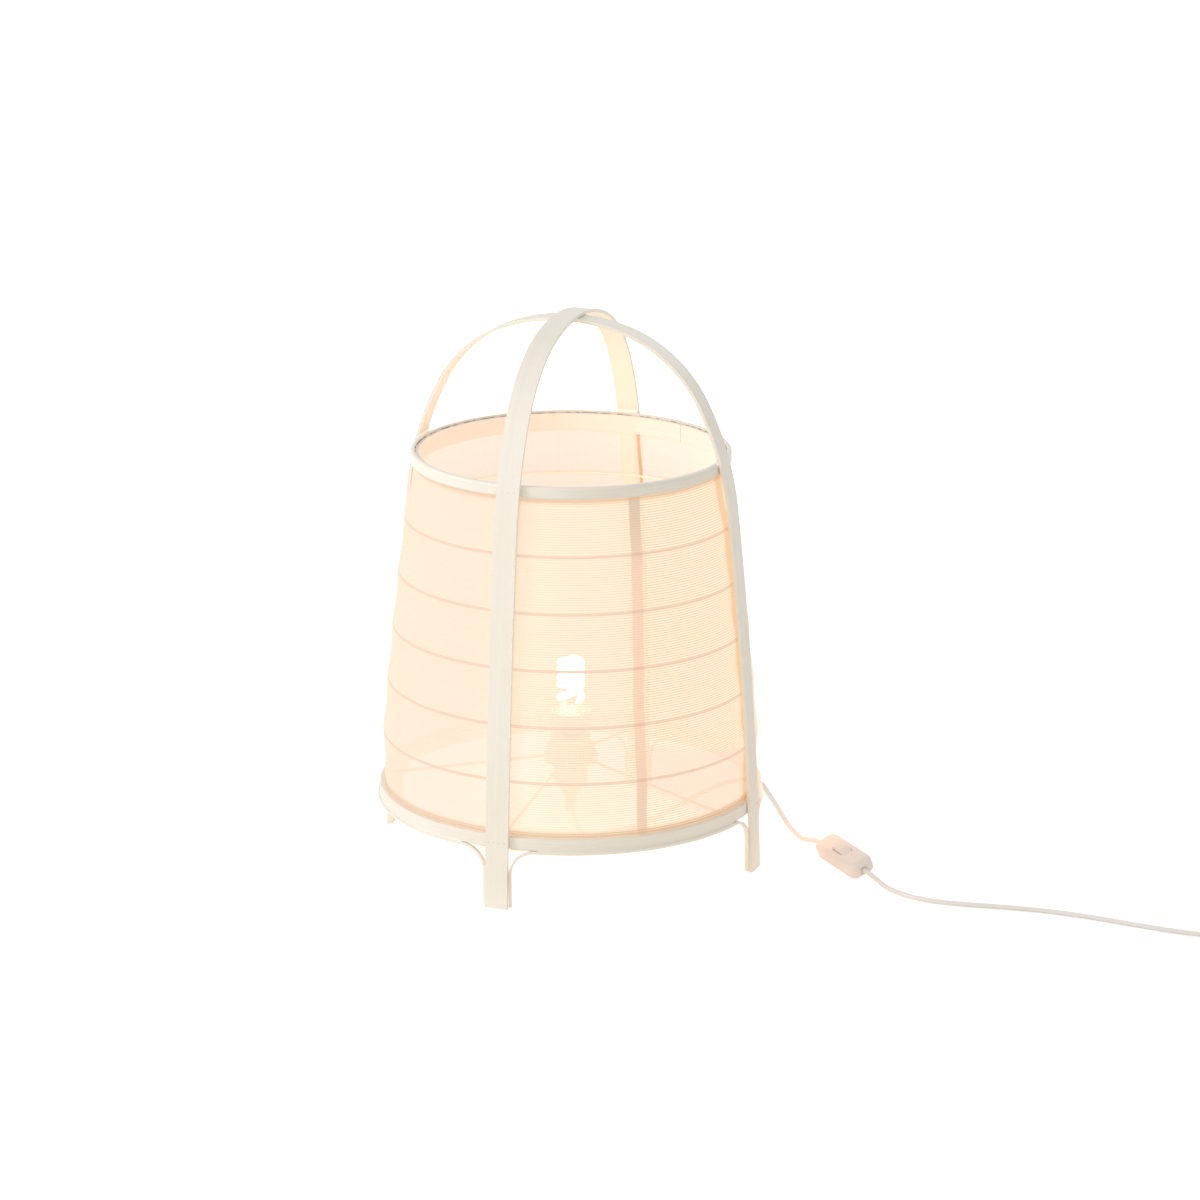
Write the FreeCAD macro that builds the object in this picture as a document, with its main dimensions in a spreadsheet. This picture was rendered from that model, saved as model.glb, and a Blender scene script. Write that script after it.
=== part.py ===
import FreeCAD, Part
import math
import os
import Sketcher
from FreeCAD import Placement, Rotation, Vector

# A bamboo table lamp: two crossed bent hoops, two rings, a stretched cloth shade on thin hoops, four foot
# braces, a small screw lampholder with a spiral bulb, and a cord with an inline switch, a coil and a plug.
# The floor is z = 0, the axis is Z, one hoop stands along X and the other along Y.

SIZES = {
    # Bent hoops, measured on their outer faces
    "lamp_height": 467.0,
    "foot_radius": 168.6,
    "strip_wide": 19.8,
    "strip_thick": 2.8,
    "crown_radius": 163.0,
    "crown_angle": 18.0,
    "shoulder_radius": 117.0,
    "shoulder_angle": 62.0,
    "hip_radius": 250.0,
    "hip_angle": 83.5,
    "crossing_gap": 0.1,
    # Rings: a rounded outer band and a flat liner, with the cloth held between them
    "band_high": 10.5,
    "band_thick": 4.0,
    "top_band_round": 2.4,
    "bottom_band_round": 0.6,
    "liner_thick": 2.5,
    "top_band_low": 341.0,
    "top_liner_drop": 6.5,
    "top_liner_inset": 1.9,
    "bottom_band_low": 51.0,
    "bottom_liner_rise": 3.5,
    "liner_joint": 0.4,
    "seat_gap": 0.2,
    # Shade cloth and the five thin hoops inside it
    "cloth_thick": 0.6,
    "cloth_gap": 0.1,
    "cloth_inset": 0.5,
    "shade_gap_top": 4.4,
    "shade_gap_low": 0.7,
    "splint_wide": 2.2,
    "splint_gap": 0.15,
    # Foot braces
    "brace_thick": 2.2,
    "brace_wide": 3.2,
    "brace_bend": 21.0,
    "brace_lap": 1.0,
    "brace_gap": 0.15,
    "brace_lift": 1.2,
    # Nails through the legs into the bands
    "nail_shank": 0.8,
    "nail_head": 1.1,
    "nail_proud": 0.15,
    "nail_sunk": 0.3,
    "nail_grip": 2.8,
    "nail_pitch": 4.5,
    # Lampholder bracket: a cupped plate on four wire arms
    "plate_top": 82.0,
    "plate_thick": 1.2,
    "plate_wide": 46.0,
    "plate_rim_high": 5.0,
    "arm_wide": 2.6,
    "arm_sweep": 13.0,
    "arm_end_high": 57.0,
    "arm_hole_gap": 0.15,
    "weld_gap": 0.05,
    # Lampholder
    "holder_neck_wide": 26.0,
    "holder_collar_wide": 33.0,
    "holder_collar_high": 18.0,
    "holder_ring_wide": 40.0,
    "holder_ring_high": 10.0,
    "holder_ring_round": 0.8,
    "holder_neck_drop": 16.0,
    "holder_bore_wide": 17.2,
    "holder_seat_drop": 4.0,
    "holder_cavity_wide": 22.8,
    "cap_wide": 28.6,
    "cap_drop": 23.0,
    "cap_cone_high": 12.0,
    "cap_cone_wide": 13.2,
    "cap_floor": 11.0,
    "grip_wide": 10.6,
    "grip_end_wide": 9.0,
    "grip_flange_wide": 18.0,
    "grip_flange_high": 2.0,
    "grip_drop": 27.0,
    "block_high": 8.0,
    "thread_clear": 0.3,
    "sleeve_wall": 0.5,
    "sleeve_top_drop": 2.0,
    "contact_long": 10.0,
    "contact_wide": 5.0,
    "contact_thick": 0.6,
    "contact_rise": 2.4,
    "contact_dome_wide": 3.0,
    "terminal_apart": 14.0,
    "terminal_head_wide": 4.0,
    "terminal_head_high": 2.4,
    "terminal_shank_wide": 2.5,
    "terminal_shank_long": 5.0,
    "fit_gap": 0.1,
    # Spiral bulb
    "bulb_cap_wide": 13.8,
    "bulb_cap_wall": 0.4,
    "bulb_cap_long": 16.0,
    "bulb_tip_wide": 5.0,
    "bulb_tip_high": 2.0,
    "bulb_gap": 0.3,
    "bulb_collar_high": 1.7,
    "bulb_neck_wide": 15.0,
    "bulb_housing_wide": 36.0,
    "bulb_flare_high": 7.0,
    "bulb_housing_high": 20.0,
    "spiral_wide": 24.0,
    "spiral_tube_wide": 6.0,
    "spiral_pitch": 13.2,
    "spiral_first_rise": 12.0,
    "spiral_turns": 2.0,
    "spiral_leg_bend": 4.0,
    # Cord
    "cord_wide": 4.0,
    "cord_top": 57.0,
    "run_before_switch": 16.0,
    "run_after_switch": 15.0,
    "run_before_coil": 22.0,
    "run_after_coil": 15.0,
    "run_before_plug": 26.0,
    "coil_at_x": 604.0,
    "coil_at_y": 13.0,
    "coil_radius": 31.0,
    "coil_step": 4.6,
    "coil_turns": 3.25,
    "coil_lift": 0.8,
    "tie_wide": 5.0,
    "tie_thick": 0.7,
    "tie_gap": 0.3,
    # Inline switch
    "switch_at_x": 237.3,
    "switch_at_y": 34.3,
    "switch_long": 68.0,
    "switch_wide": 22.4,
    "switch_high": 13.6,
    "switch_split": 7.2,
    "switch_corner": 7.0,
    "switch_edge": 4.2,
    "switch_foot_edge": 2.1,
    "switch_wall": 1.8,
    "switch_roof": 2.4,
    "slot_corner": 4.2,
    "rocker_along": 1.6,
    "rocker_long": 19.0,
    "rocker_wide": 9.8,
    "rocker_rise": 6.6,
    "rocker_fall": 1.68,
    "rocker_drop": 3.0,
    "rocker_tilt": 10.0,
    "rocker_gap": 1.4,
    "rocker_side_gap": 0.45,
    "rocker_corner": 3.8,
    "pivot_high": 9.0,
    "pivot_wide": 2.0,
    "pivot_clear": 0.05,
    "cheek_thick": 2.4,
    "cheek_long": 5.0,
    "cheek_drop": 2.2,
    "screw_reach": 20.0,
    "screw_wide": 2.4,
    "screw_head_wide": 4.4,
    "screw_head_high": 1.4,
    "boss_wide": 6.2,
    "switch_cord_high": 4.6,
    "cord_notch_wide": 6.4,
    "cord_notch_deep": 1.0,
    "cord_notch_drop": 2.8,
    # Flat plug with two round pins
    "plug_at_x": 708.0,
    "plug_at_y": -21.0,
    "plug_wide": 35.0,
    "plug_high": 13.7,
    "plug_long": 36.0,
    "plug_face_long": 9.0,
    "plug_back_wide": 11.0,
    "plug_round": 3.0,
    "pin_wide": 4.0,
    "pin_long": 19.0,
    "pin_root": 9.0,
    "pin_root_wide": 3.2,
    "pin_apart": 18.6,
    "relief_long": 14.0,
    "relief_wide": 8.0,
    "relief_end_wide": 6.4,
}

SPLINT_COUNT = 5
TOP_NAILS = 3
BOTTOM_NAILS = 4
LEGS = 4
LINER_JOINT_TURN = 64.0
SWITCH_TURN = -43.6
SWITCH_ROLL = 22.0
PLUG_TURN = -6.0
# Share of the shorter run that a bend of the cord may use, and turns in which the coil climbs a layer
BEND_SHARE = 0.45
COIL_CLIMB = 0.5
SMALL = 1e-6

# Where the cord lies on the floor, from under the lamp to the switch and from the switch to the coil
UNDER_LAMP = ((31, 44), (48, 94), (57, 146), (67, 190), (80, 213), (100, 212), (114, 188), (134, 155),
              (152, 123), (168, 98), (184, 78))
BESIDE_LAMP = ((285, -9), (306, -21), (329, -26), (354, -24), (386, -18), (424, -13), (466, -14), (508, -19),
               (548, -21))

UP = Vector(0, 0, 1)
# The switch lies rolled on one of its lower edges, as the stiff cord holds it
SWITCH_LIFT = ((SIZES["switch_wide"] / 2 - SIZES["switch_foot_edge"]) * math.sin(math.radians(SWITCH_ROLL))
               + SIZES["switch_foot_edge"] * (1 - math.cos(math.radians(SWITCH_ROLL))))
SWITCH_PLACE = Placement(Vector(SIZES["switch_at_x"], SIZES["switch_at_y"], SWITCH_LIFT),
                         Rotation(UP, SWITCH_TURN) * Rotation(Vector(1, 0, 0), SWITCH_ROLL))
COIL_PLACE = Vector(SIZES["coil_at_x"], SIZES["coil_at_y"], 0)
PLUG_PLACE = Placement(Vector(SIZES["plug_at_x"], SIZES["plug_at_y"], 0), Rotation(UP, PLUG_TURN))

doc = FreeCAD.newDocument("bamboo_table_lamp")
sheet = doc.addObject("Spreadsheet::Sheet", "sizes")
parts = []


class Size:
    """A length or an angle that keeps its value and the sheet expression that it comes from."""

    def __init__(self, value, text):
        self.value = float(value)
        self.text = text

    def __float__(self):
        return self.value

    def __add__(self, other):
        other = as_size(other)
        return Size(self.value + other.value, f"({self.text} + {other.text})")

    def __sub__(self, other):
        other = as_size(other)
        return Size(self.value - other.value, f"({self.text} - {other.text})")

    def __mul__(self, factor):
        return Size(self.value * factor, f"({self.text} * {factor})")

    def __truediv__(self, divisor):
        return Size(self.value / divisor, f"({self.text} / {divisor})")

    def __neg__(self):
        return Size(-self.value, f"(0 - {self.text})")


def as_size(item):
    return item if isinstance(item, Size) else Size(item, str(float(item)))


def set_size(name, value):
    """Write a plain number to the sheet under an alias and give it back as a Size."""
    row = set_size.rows = set_size.rows + 1
    sheet.set(f"A{row}", name)
    sheet.set(f"B{row}", str(float(value)))
    sheet.setAlias(f"B{row}", name)
    return Size(value, f"sizes.{name}")


set_size.rows = 0
size = {name: set_size(name, value) for name, value in SIZES.items()}
doc.recompute()


def keep(item, name):
    """Register a finished document object as the sub-part of that name."""
    item.Label = name
    parts.append(item)
    return item


def solid_feature(name, shape, place=None):
    item = doc.addObject("Part::Feature", name)
    item.Shape = shape
    if place:
        item.Placement = place
    return item


def cut(name, base, tool):
    item = doc.addObject("Part::Cut", name)
    item.Base = base
    item.Tool = tool
    doc.recompute()
    return item


def fuse(name, pieces):
    item = doc.addObject("Part::MultiFuse", name)
    item.Shapes = pieces
    doc.recompute()
    return item


def group(name, pieces):
    item = doc.addObject("Part::Compound", name)
    item.Links = pieces
    doc.recompute()
    return item


def keep_at(name, item, place):
    """Keep an object that is drawn about its own middle, set down at its place on the floor."""
    item.Label = name + "_drawn"
    placed = group(name, [item])
    placed.Placement = place
    doc.recompute()
    return keep(placed, name)


def bind(item, **bindings):
    for name, value in bindings.items():
        item.setExpression(name, as_size(value).text)


def box(name, corner, extent):
    item = doc.addObject("Part::Box", name)
    bind(item, Length=extent[0], Width=extent[1], Height=extent[2])
    item.Placement.Base = Vector(*[float(value) for value in corner])
    return item


def cylinder(name, width, length, start, direction):
    item = doc.addObject("Part::Cylinder", name)
    bind(item, Radius=as_size(width) / 2, Height=length)
    turn = Rotation(UP, Vector(*direction))
    item.Placement = Placement(Vector(*[float(value) for value in start]), turn)
    return item


def new_body(name):
    return doc.addObject("PartDesign::Body", name)


def new_sketch(body, name, role):
    sketch = body.newObject("Sketcher::SketchObject", name)
    plane = [item for item in body.Origin.OriginFeatures if item.Role == role][0]
    sketch.AttachmentSupport = (plane, [""])
    sketch.MapMode = "FlatFace"
    return sketch


def draw_outline(sketch, corners):
    """A closed outline of straight lines, each corner held at two sheet expressions."""
    corners = [(as_size(across), as_size(along)) for across, along in corners]
    points = [Vector(across.value, along.value, 0) for across, along in corners]
    count = len(points)
    for index in range(count):
        sketch.addGeometry(Part.LineSegment(points[index], points[(index + 1) % count]))
    for index in range(count):
        sketch.addConstraint(Sketcher.Constraint("Coincident", index, 2, (index + 1) % count, 1))
    for index, corner in enumerate(corners):
        for kind, axis, value in (("DistanceX", -2, corner[0]), ("DistanceY", -1, corner[1])):
            if abs(value.value) < SMALL:
                sketch.addConstraint(Sketcher.Constraint("PointOnObject", index, 1, axis))
            else:
                held = sketch.addConstraint(Sketcher.Constraint(kind, -1, 1, index, 1, value.value))
                sketch.setExpression(f"Constraints[{held}]", value.text)


def turned(name, corners, angle=360.0):
    """A body turned about the Z axis from an outline of radius and height pairs."""
    body = new_body(name + "_body")
    sketch = new_sketch(body, name + "_outline", "XZ_Plane")
    draw_outline(sketch, corners)
    turn = body.newObject("PartDesign::Revolution", name + "_turned")
    turn.Profile = sketch
    turn.ReferenceAxis = (sketch, ["V_Axis"])
    turn.Angle = angle
    doc.recompute()
    return body


def padded(body, name, corners, length, role="XY_Plane", midplane=False):
    sketch = new_sketch(body, name + "_outline", role)
    draw_outline(sketch, corners)
    pad = body.newObject("PartDesign::Pad", name + "_pad")
    pad.Profile = sketch
    bind(pad, Length=length)
    if midplane:
        pad.SideType = "Symmetric"
    doc.recompute()
    return pad


def pocketed(body, name, corners, depth, start, reversed_cut=False):
    """A pocket from a plane at the height start, downwards unless reversed."""
    sketch = new_sketch(body, name + "_outline", "XY_Plane")
    draw_outline(sketch, corners)
    sketch.setExpression("AttachmentOffset.Base.z", as_size(start).text)
    before = body.Shape.Volume
    pocket = body.newObject("PartDesign::Pocket", name + "_pocket")
    pocket.Profile = sketch
    bind(pocket, Length=depth)
    pocket.Reversed = reversed_cut
    doc.recompute()
    assert body.Shape.Volume < before - 1e-3, f"{name} removes nothing"
    return pocket


def rounded(body, name, radius, wanted):
    """Fillet the edges of the body's last feature that the test picks."""
    base = body.Tip
    names = [f"Edge{index + 1}" for index, edge in enumerate(base.Shape.Edges) if wanted(edge)]
    fillet = body.newObject("PartDesign::Fillet", name + "_round")
    fillet.Base = (base, names)
    bind(fillet, Radius=radius)
    doc.recompute()
    return fillet


def rectangle(long, wide):
    half_long = as_size(long) / 2
    half_wide = as_size(wide) / 2
    return [(-half_long, -half_wide), (half_long, -half_wide),
            (half_long, half_wide), (-half_long, half_wide)]


def clipped_rectangle(long, wide, corner):
    """A rectangle about the middle with its corners cut off."""
    half_long, half_wide = as_size(long) / 2, as_size(wide) / 2
    short, narrow = half_long - corner, half_wide - corner
    return [(-short, -half_wide), (short, -half_wide), (half_long, -narrow), (half_long, narrow),
            (short, half_wide), (-short, half_wide), (-half_long, narrow), (-half_long, -narrow)]


def is_upright(edge):
    first, last = edge.Vertexes[0].Point, edge.Vertexes[-1].Point
    return math.hypot(first.x - last.x, first.y - last.y) < SMALL < abs(first.z - last.z)


def lies_at(height):
    return lambda edge: all(abs(corner.Point.z - float(height)) < SMALL for corner in edge.Vertexes)


def is_ring_of(radius):
    return lambda edge: hasattr(edge.Curve, "Radius") and abs(edge.Curve.Radius - float(radius)) < SMALL


def polar(radius, angle, height=0.0):
    return Vector(radius * math.cos(angle), radius * math.sin(angle), height)


# Bent hoops

def hoop_arcs(apex):
    """Arcs of a hoop's outer face from crown to foot: centre, radius, first and last angle from upright."""
    turns = [0.0] + [math.radians(SIZES[name]) for name in ("crown_angle", "shoulder_angle", "hip_angle")]
    across, up = 0.0, apex
    arcs = []
    for name, start, end in zip(("crown_radius", "shoulder_radius", "hip_radius"), turns, turns[1:]):
        radius = SIZES[name]
        middle_across, middle_up = across - radius * math.sin(start), up - radius * math.cos(start)
        arcs.append((middle_across, middle_up, radius, start, end))
        across, up = middle_across + radius * math.sin(end), middle_up + radius * math.cos(end)
    # The leg is the one arc that leaves the hip in line with it and ends at the foot
    start = turns[-1]
    to_foot = (SIZES["foot_radius"] - across, -up)
    lean = to_foot[0] * math.sin(start) + to_foot[1] * math.cos(start)
    radius = -(to_foot[0] ** 2 + to_foot[1] ** 2) / (2 * lean)
    middle_across, middle_up = across - radius * math.sin(start), up - radius * math.cos(start)
    end = math.acos(-middle_up / radius)
    arcs.append((middle_across, middle_up, radius, start, end))
    return arcs


def face_radius(arcs, height, depth):
    """Distance from the axis, at a height, of the face that lies a depth inside a hoop's outer face."""
    for across, up, radius, start, end in reversed(arcs):
        reach = (height - up) / (radius - depth)
        if abs(reach) > 1:
            continue
        angle = math.acos(reach)
        if min(start, end) - SMALL <= angle <= max(start, end) + SMALL:
            return across + (radius - depth) * math.sin(angle)
    raise ValueError(f"no hoop face at height {height}")


def hoop_body(name, arcs):
    """Half of the hoop padded from its side outline, then mirrored."""
    thick = SIZES["strip_thick"]

    def side_arc(arc, depth, end):
        across, up, radius, start, _ = arc
        reach = radius - depth
        return Part.Arc(*[Vector(across + reach * math.sin(angle), up + reach * math.cos(angle), 0)
                          for angle in (start, (start + end) / 2, end)])

    leg = arcs[-1]
    inner_foot = math.acos(-leg[1] / (leg[2] - thick))
    outer = [side_arc(arc, 0.0, arc[4]) for arc in arcs]
    inner = [side_arc(arc, thick, arc[4]) for arc in arcs[:-1]] + [side_arc(leg, thick, inner_foot)]
    body = new_body(name + "_body")
    sketch = new_sketch(body, name + "_outline", "XZ_Plane")
    for curve in outer + inner:
        sketch.addGeometry(curve)
    count = len(arcs)
    ends = [(curve.StartPoint, curve.EndPoint) for curve in outer + inner]
    sketch.addGeometry(Part.LineSegment(ends[count - 1][1], ends[-1][1]))
    sketch.addGeometry(Part.LineSegment(ends[0][0], ends[count][0]))
    for index, name_of_radius in enumerate(("crown_radius", "shoulder_radius", "hip_radius")):
        for row, depth in ((0, 0.0), (count, size["strip_thick"])):
            radius = size[name_of_radius] - depth
            held = sketch.addConstraint(Sketcher.Constraint("Radius", row + index, radius.value))
            sketch.setExpression(f"Constraints[{held}]", radius.text)
    pad = body.newObject("PartDesign::Pad", name + "_pad")
    pad.Profile = sketch
    pad.SideType = "Symmetric"
    bind(pad, Length=size["strip_wide"])
    doc.recompute()
    mirror = body.newObject("PartDesign::Mirrored", name + "_mirrored")
    mirror.Originals = [pad]
    mirror.MirrorPlane = (sketch, ["V_Axis"])
    body.Tip = mirror
    doc.recompute()
    return body


inner_crown = SIZES["crown_radius"] - SIZES["strip_thick"]
crossing_sag = inner_crown - math.sqrt(inner_crown ** 2 - (SIZES["strip_wide"] / 2) ** 2)
upper_apex = SIZES["lamp_height"]
lower_apex = upper_apex - SIZES["strip_thick"] - crossing_sag - SIZES["crossing_gap"]
lower_arcs = hoop_arcs(lower_apex)
upper_arcs = hoop_arcs(upper_apex)


def leg_face(height):
    """The smaller of the two hoops' inner faces at a height."""
    return min(face_radius(arcs, height, SIZES["strip_thick"]) for arcs in (lower_arcs, upper_arcs))


# Rings and shade radii that follow the legs

band_low = {"top": size["top_band_low"], "bottom": size["bottom_band_low"]}
band_top = {level: low + size["band_high"] for level, low in band_low.items()}
band_outer = {}
for level in ("top", "bottom"):
    touch = float(band_top[level] - size[level + "_band_round"])
    band_outer[level] = set_size(level + "_band_outer", leg_face(touch) - SIZES["seat_gap"])
band_inner = {level: band_outer[level] - size["band_thick"] for level in band_outer}
cloth_outer = {level: band_inner[level] - size["cloth_gap"] for level in band_outer}
liner_outer = {level: cloth_outer[level] - size["cloth_thick"] - size["cloth_gap"] for level in band_outer}
liner_inner = {level: liner_outer[level] - size["liner_thick"] for level in band_outer}

splint_step = (float(band_low["top"]) - float(band_top["bottom"])) / (SPLINT_COUNT + 1)
splints = []
for index in range(SPLINT_COUNT):
    share = index / (SPLINT_COUNT - 1)
    high = float(band_low["top"]) - splint_step * (index + 1)
    apart = SIZES["shade_gap_top"] + (SIZES["shade_gap_low"] - SIZES["shade_gap_top"]) * share
    splints.append((set_size(f"splint_radius_{index + 1}", leg_face(high) - apart),
                    set_size(f"splint_high_{index + 1}", high)))
doc.recompute()


def build_band(level):
    low, top = band_low[level], band_top[level]
    name = level + "_band"
    body = turned(name, [(band_inner[level], low), (band_outer[level], low),
                         (band_outer[level], top), (band_inner[level], top)])
    rounded(body, name, size[name + "_round"], is_ring_of(band_outer[level]))
    return body


def build_liner(level, low, top):
    """A flat strip bent to a ring, with its ends butted at a narrow joint."""
    name = level + "_liner"
    corners = [(liner_inner[level], low), (liner_outer[level], low),
               (liner_outer[level], top), (liner_inner[level], top)]
    joint = math.degrees(SIZES["liner_joint"] / float(liner_inner[level]))
    return turned(name, corners, 360.0 - joint)


def build_cloth():
    inset = size["cloth_inset"]
    top = band_top["top"] - size["top_liner_inset"] - inset
    outer = [(cloth_outer["top"], top), (cloth_outer["top"], band_low["top"] - inset)]
    outer += splints
    outer += [(cloth_outer["bottom"], band_top["bottom"] + inset),
              (cloth_outer["bottom"], band_low["bottom"] + inset)]
    inner = [(radius - size["cloth_thick"], high) for radius, high in reversed(outer)]
    keep(turned("shade_fabric", outer + inner), "shade_fabric")


def build_splints():
    wire = size["splint_wide"] / 2
    for index, (radius, high) in enumerate(splints):
        name = f"shade_splint_{index + 1}"
        ring = doc.addObject("Part::Torus", name)
        bind(ring, Radius1=radius - size["cloth_thick"] - size["splint_gap"] - wire, Radius2=wire)
        ring.setExpression("Placement.Base.z", high.text)
        keep(ring, name)


def build_nails(level, count):
    """Rows of small nails, through each leg and into the band behind it."""
    high = float(band_low[level] + size["band_high"] / 2)
    tip = float(band_outer[level]) - SIZES["nail_grip"]
    nails = []
    for leg in range(LEGS):
        face = face_radius(lower_arcs if leg % 2 == 0 else upper_arcs, high, 0.0)
        for index in range(count):
            aside = (index - (count - 1) / 2) * SIZES["nail_pitch"]
            start = Vector(tip, aside, high)
            shank = Part.makeCylinder(SIZES["nail_shank"] / 2, face - tip, start, Vector(1, 0, 0))
            head_from = Vector(face - SIZES["nail_sunk"], aside, high)
            head_high = SIZES["nail_sunk"] + SIZES["nail_proud"]
            head = Part.makeCylinder(SIZES["nail_head"] / 2, head_high, head_from, Vector(1, 0, 0))
            nail = shank.fuse(head).removeSplitter()
            nail.rotate(Vector(0, 0, 0), UP, 360.0 / LEGS * leg)
            nails.append(nail)
    return keep(solid_feature(f"{level}_band_nails", Part.makeCompound(nails)), f"{level}_band_nails")


def build_frame():
    top_nails = build_nails("top", TOP_NAILS)
    bottom_nails = build_nails("bottom", BOTTOM_NAILS)
    doc.recompute()
    nails = group("nail_holes", [top_nails, bottom_nails])
    lower = hoop_body("hoop_lower", lower_arcs)
    upper = hoop_body("hoop_upper", upper_arcs)
    upper.Placement = Placement(Vector(0, 0, 0), Rotation(UP, 90.0))
    doc.recompute()
    keep(cut("hoop_lower", lower, nails), "hoop_lower")
    keep(cut("hoop_upper", upper, nails), "hoop_upper")
    keep(cut("top_band", build_band("top"), top_nails), "top_band")
    keep(cut("bottom_band", build_band("bottom"), bottom_nails), "bottom_band")
    liner = build_liner("top", band_low["top"] - size["top_liner_drop"],
                        band_top["top"] - size["top_liner_inset"])
    liner.Placement = Placement(Vector(0, 0, 0), Rotation(UP, LINER_JOINT_TURN))
    keep(liner, "top_liner")


# Foot braces

def build_braces():
    """Four bent rods, each from leg to leg under the bottom band and down both legs' edges."""
    half_thick = SIZES["brace_thick"] / 2
    half_wide = SIZES["brace_wide"] / 2
    bend = SIZES["brace_bend"]
    middle = leg_face(SIZES["bottom_band_low"]) + SIZES["brace_lap"] - half_wide
    high = SIZES["bottom_band_low"] - SIZES["brace_gap"] - half_thick
    # The upright end stands clear of the leg's edge where it starts to overlap the leg
    reach_out = middle + half_wide - SIZES["brace_lap"] - SIZES["brace_gap"]
    reach_side = bend + half_thick
    edge = SIZES["strip_wide"] / 2 + SIZES["brace_gap"]
    turn = math.atan2(reach_side, reach_out) + math.asin(edge / math.hypot(reach_out, reach_side))
    quarter = math.pi / 2
    tops = [polar(middle, turn, high), polar(middle, quarter - turn, high)]
    asides = [-polar(1.0, turn + quarter), polar(1.0, 2 * quarter - turn)]
    edges = []
    for top, aside in zip(tops, asides):
        bend_middle = top - UP * bend
        low = bend_middle + aside * bend
        halfway = bend_middle + (aside + UP) * (bend / math.sqrt(2))
        edges.append([Part.LineSegment(Vector(low.x, low.y, SIZES["brace_lift"]), low), Part.Arc(low, halfway, top)])
    along = Part.Arc(tops[0], polar(middle, quarter / 2, high), tops[1])
    path = edges[0] + [along] + list(reversed(edges[1]))
    wire = Part.Wire(Part.__sortEdges__([curve.toShape() for curve in path]))
    foot = edges[0][0].StartPoint
    outward = polar(1.0, turn)
    corners = [foot + asides[0] * (half_thick * along_side) + outward * (half_wide * across)
               for along_side, across in ((-1, -1), (1, -1), (1, 1), (-1, 1))]
    section = Part.makePolygon(corners + corners[:1])
    strip = wire.makePipeShell([section], True, False)
    for index in range(LEGS):
        name = f"foot_brace_{index + 1}"
        place = Placement(Vector(0, 0, 0), Rotation(UP, 360.0 / LEGS * index))
        keep(solid_feature(name, strip.copy(), place), name)


# Lampholder bracket

def build_bracket():
    """The cupped plate, its four wire arms, and the liner that the arms' ends are let into."""
    rim = size["plate_wide"] / 2
    top = size["plate_top"]
    under = top - size["plate_thick"]
    hole = size["holder_neck_wide"] / 2 + size["fit_gap"]
    skirt = top - size["plate_rim_high"]
    inside = rim - size["plate_thick"]
    keep(turned("holder_plate", [(hole, under), (inside, under), (inside, skirt), (rim, skirt),
                                 (rim, top), (hole, top)]), "holder_plate")
    sweep = math.radians(SIZES["arm_sweep"])
    angles = [-math.pi / 2, math.pi / 2, -sweep, math.pi + sweep]
    start_high = float(top - size["plate_rim_high"] / 2)
    start_radius = float(rim)
    end_radius = float(liner_outer["bottom"] - size["cloth_gap"])
    rim_tool = Part.makeCylinder(start_radius + SIZES["weld_gap"], 2 * SIZES["plate_rim_high"],
                                 Vector(0, 0, float(skirt) - SIZES["plate_rim_high"] / 2))
    arms = []
    holes = []
    for angle in angles:
        near = polar(start_radius - SIZES["arm_wide"], angle, start_high)
        far = polar(end_radius, angle, SIZES["arm_end_high"])
        run = far - near
        arms.append(Part.makeCylinder(SIZES["arm_wide"] / 2, run.Length, near, run).cut(rim_tool))
        wide = SIZES["arm_wide"] / 2 + SIZES["arm_hole_gap"]
        half_way = near + run * 0.5
        holes.append(Part.makeCylinder(wide, run.Length, half_way, run))
    keep(solid_feature("holder_arms", Part.makeCompound(arms)), "holder_arms")
    drill = solid_feature("arm_holes", Part.makeCompound(holes))
    low = band_low["bottom"]
    liner = build_liner("bottom", low, band_top["bottom"] + size["bottom_liner_rise"])
    keep(cut("bottom_liner", liner, drill), "bottom_liner")


# Lampholder

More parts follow.
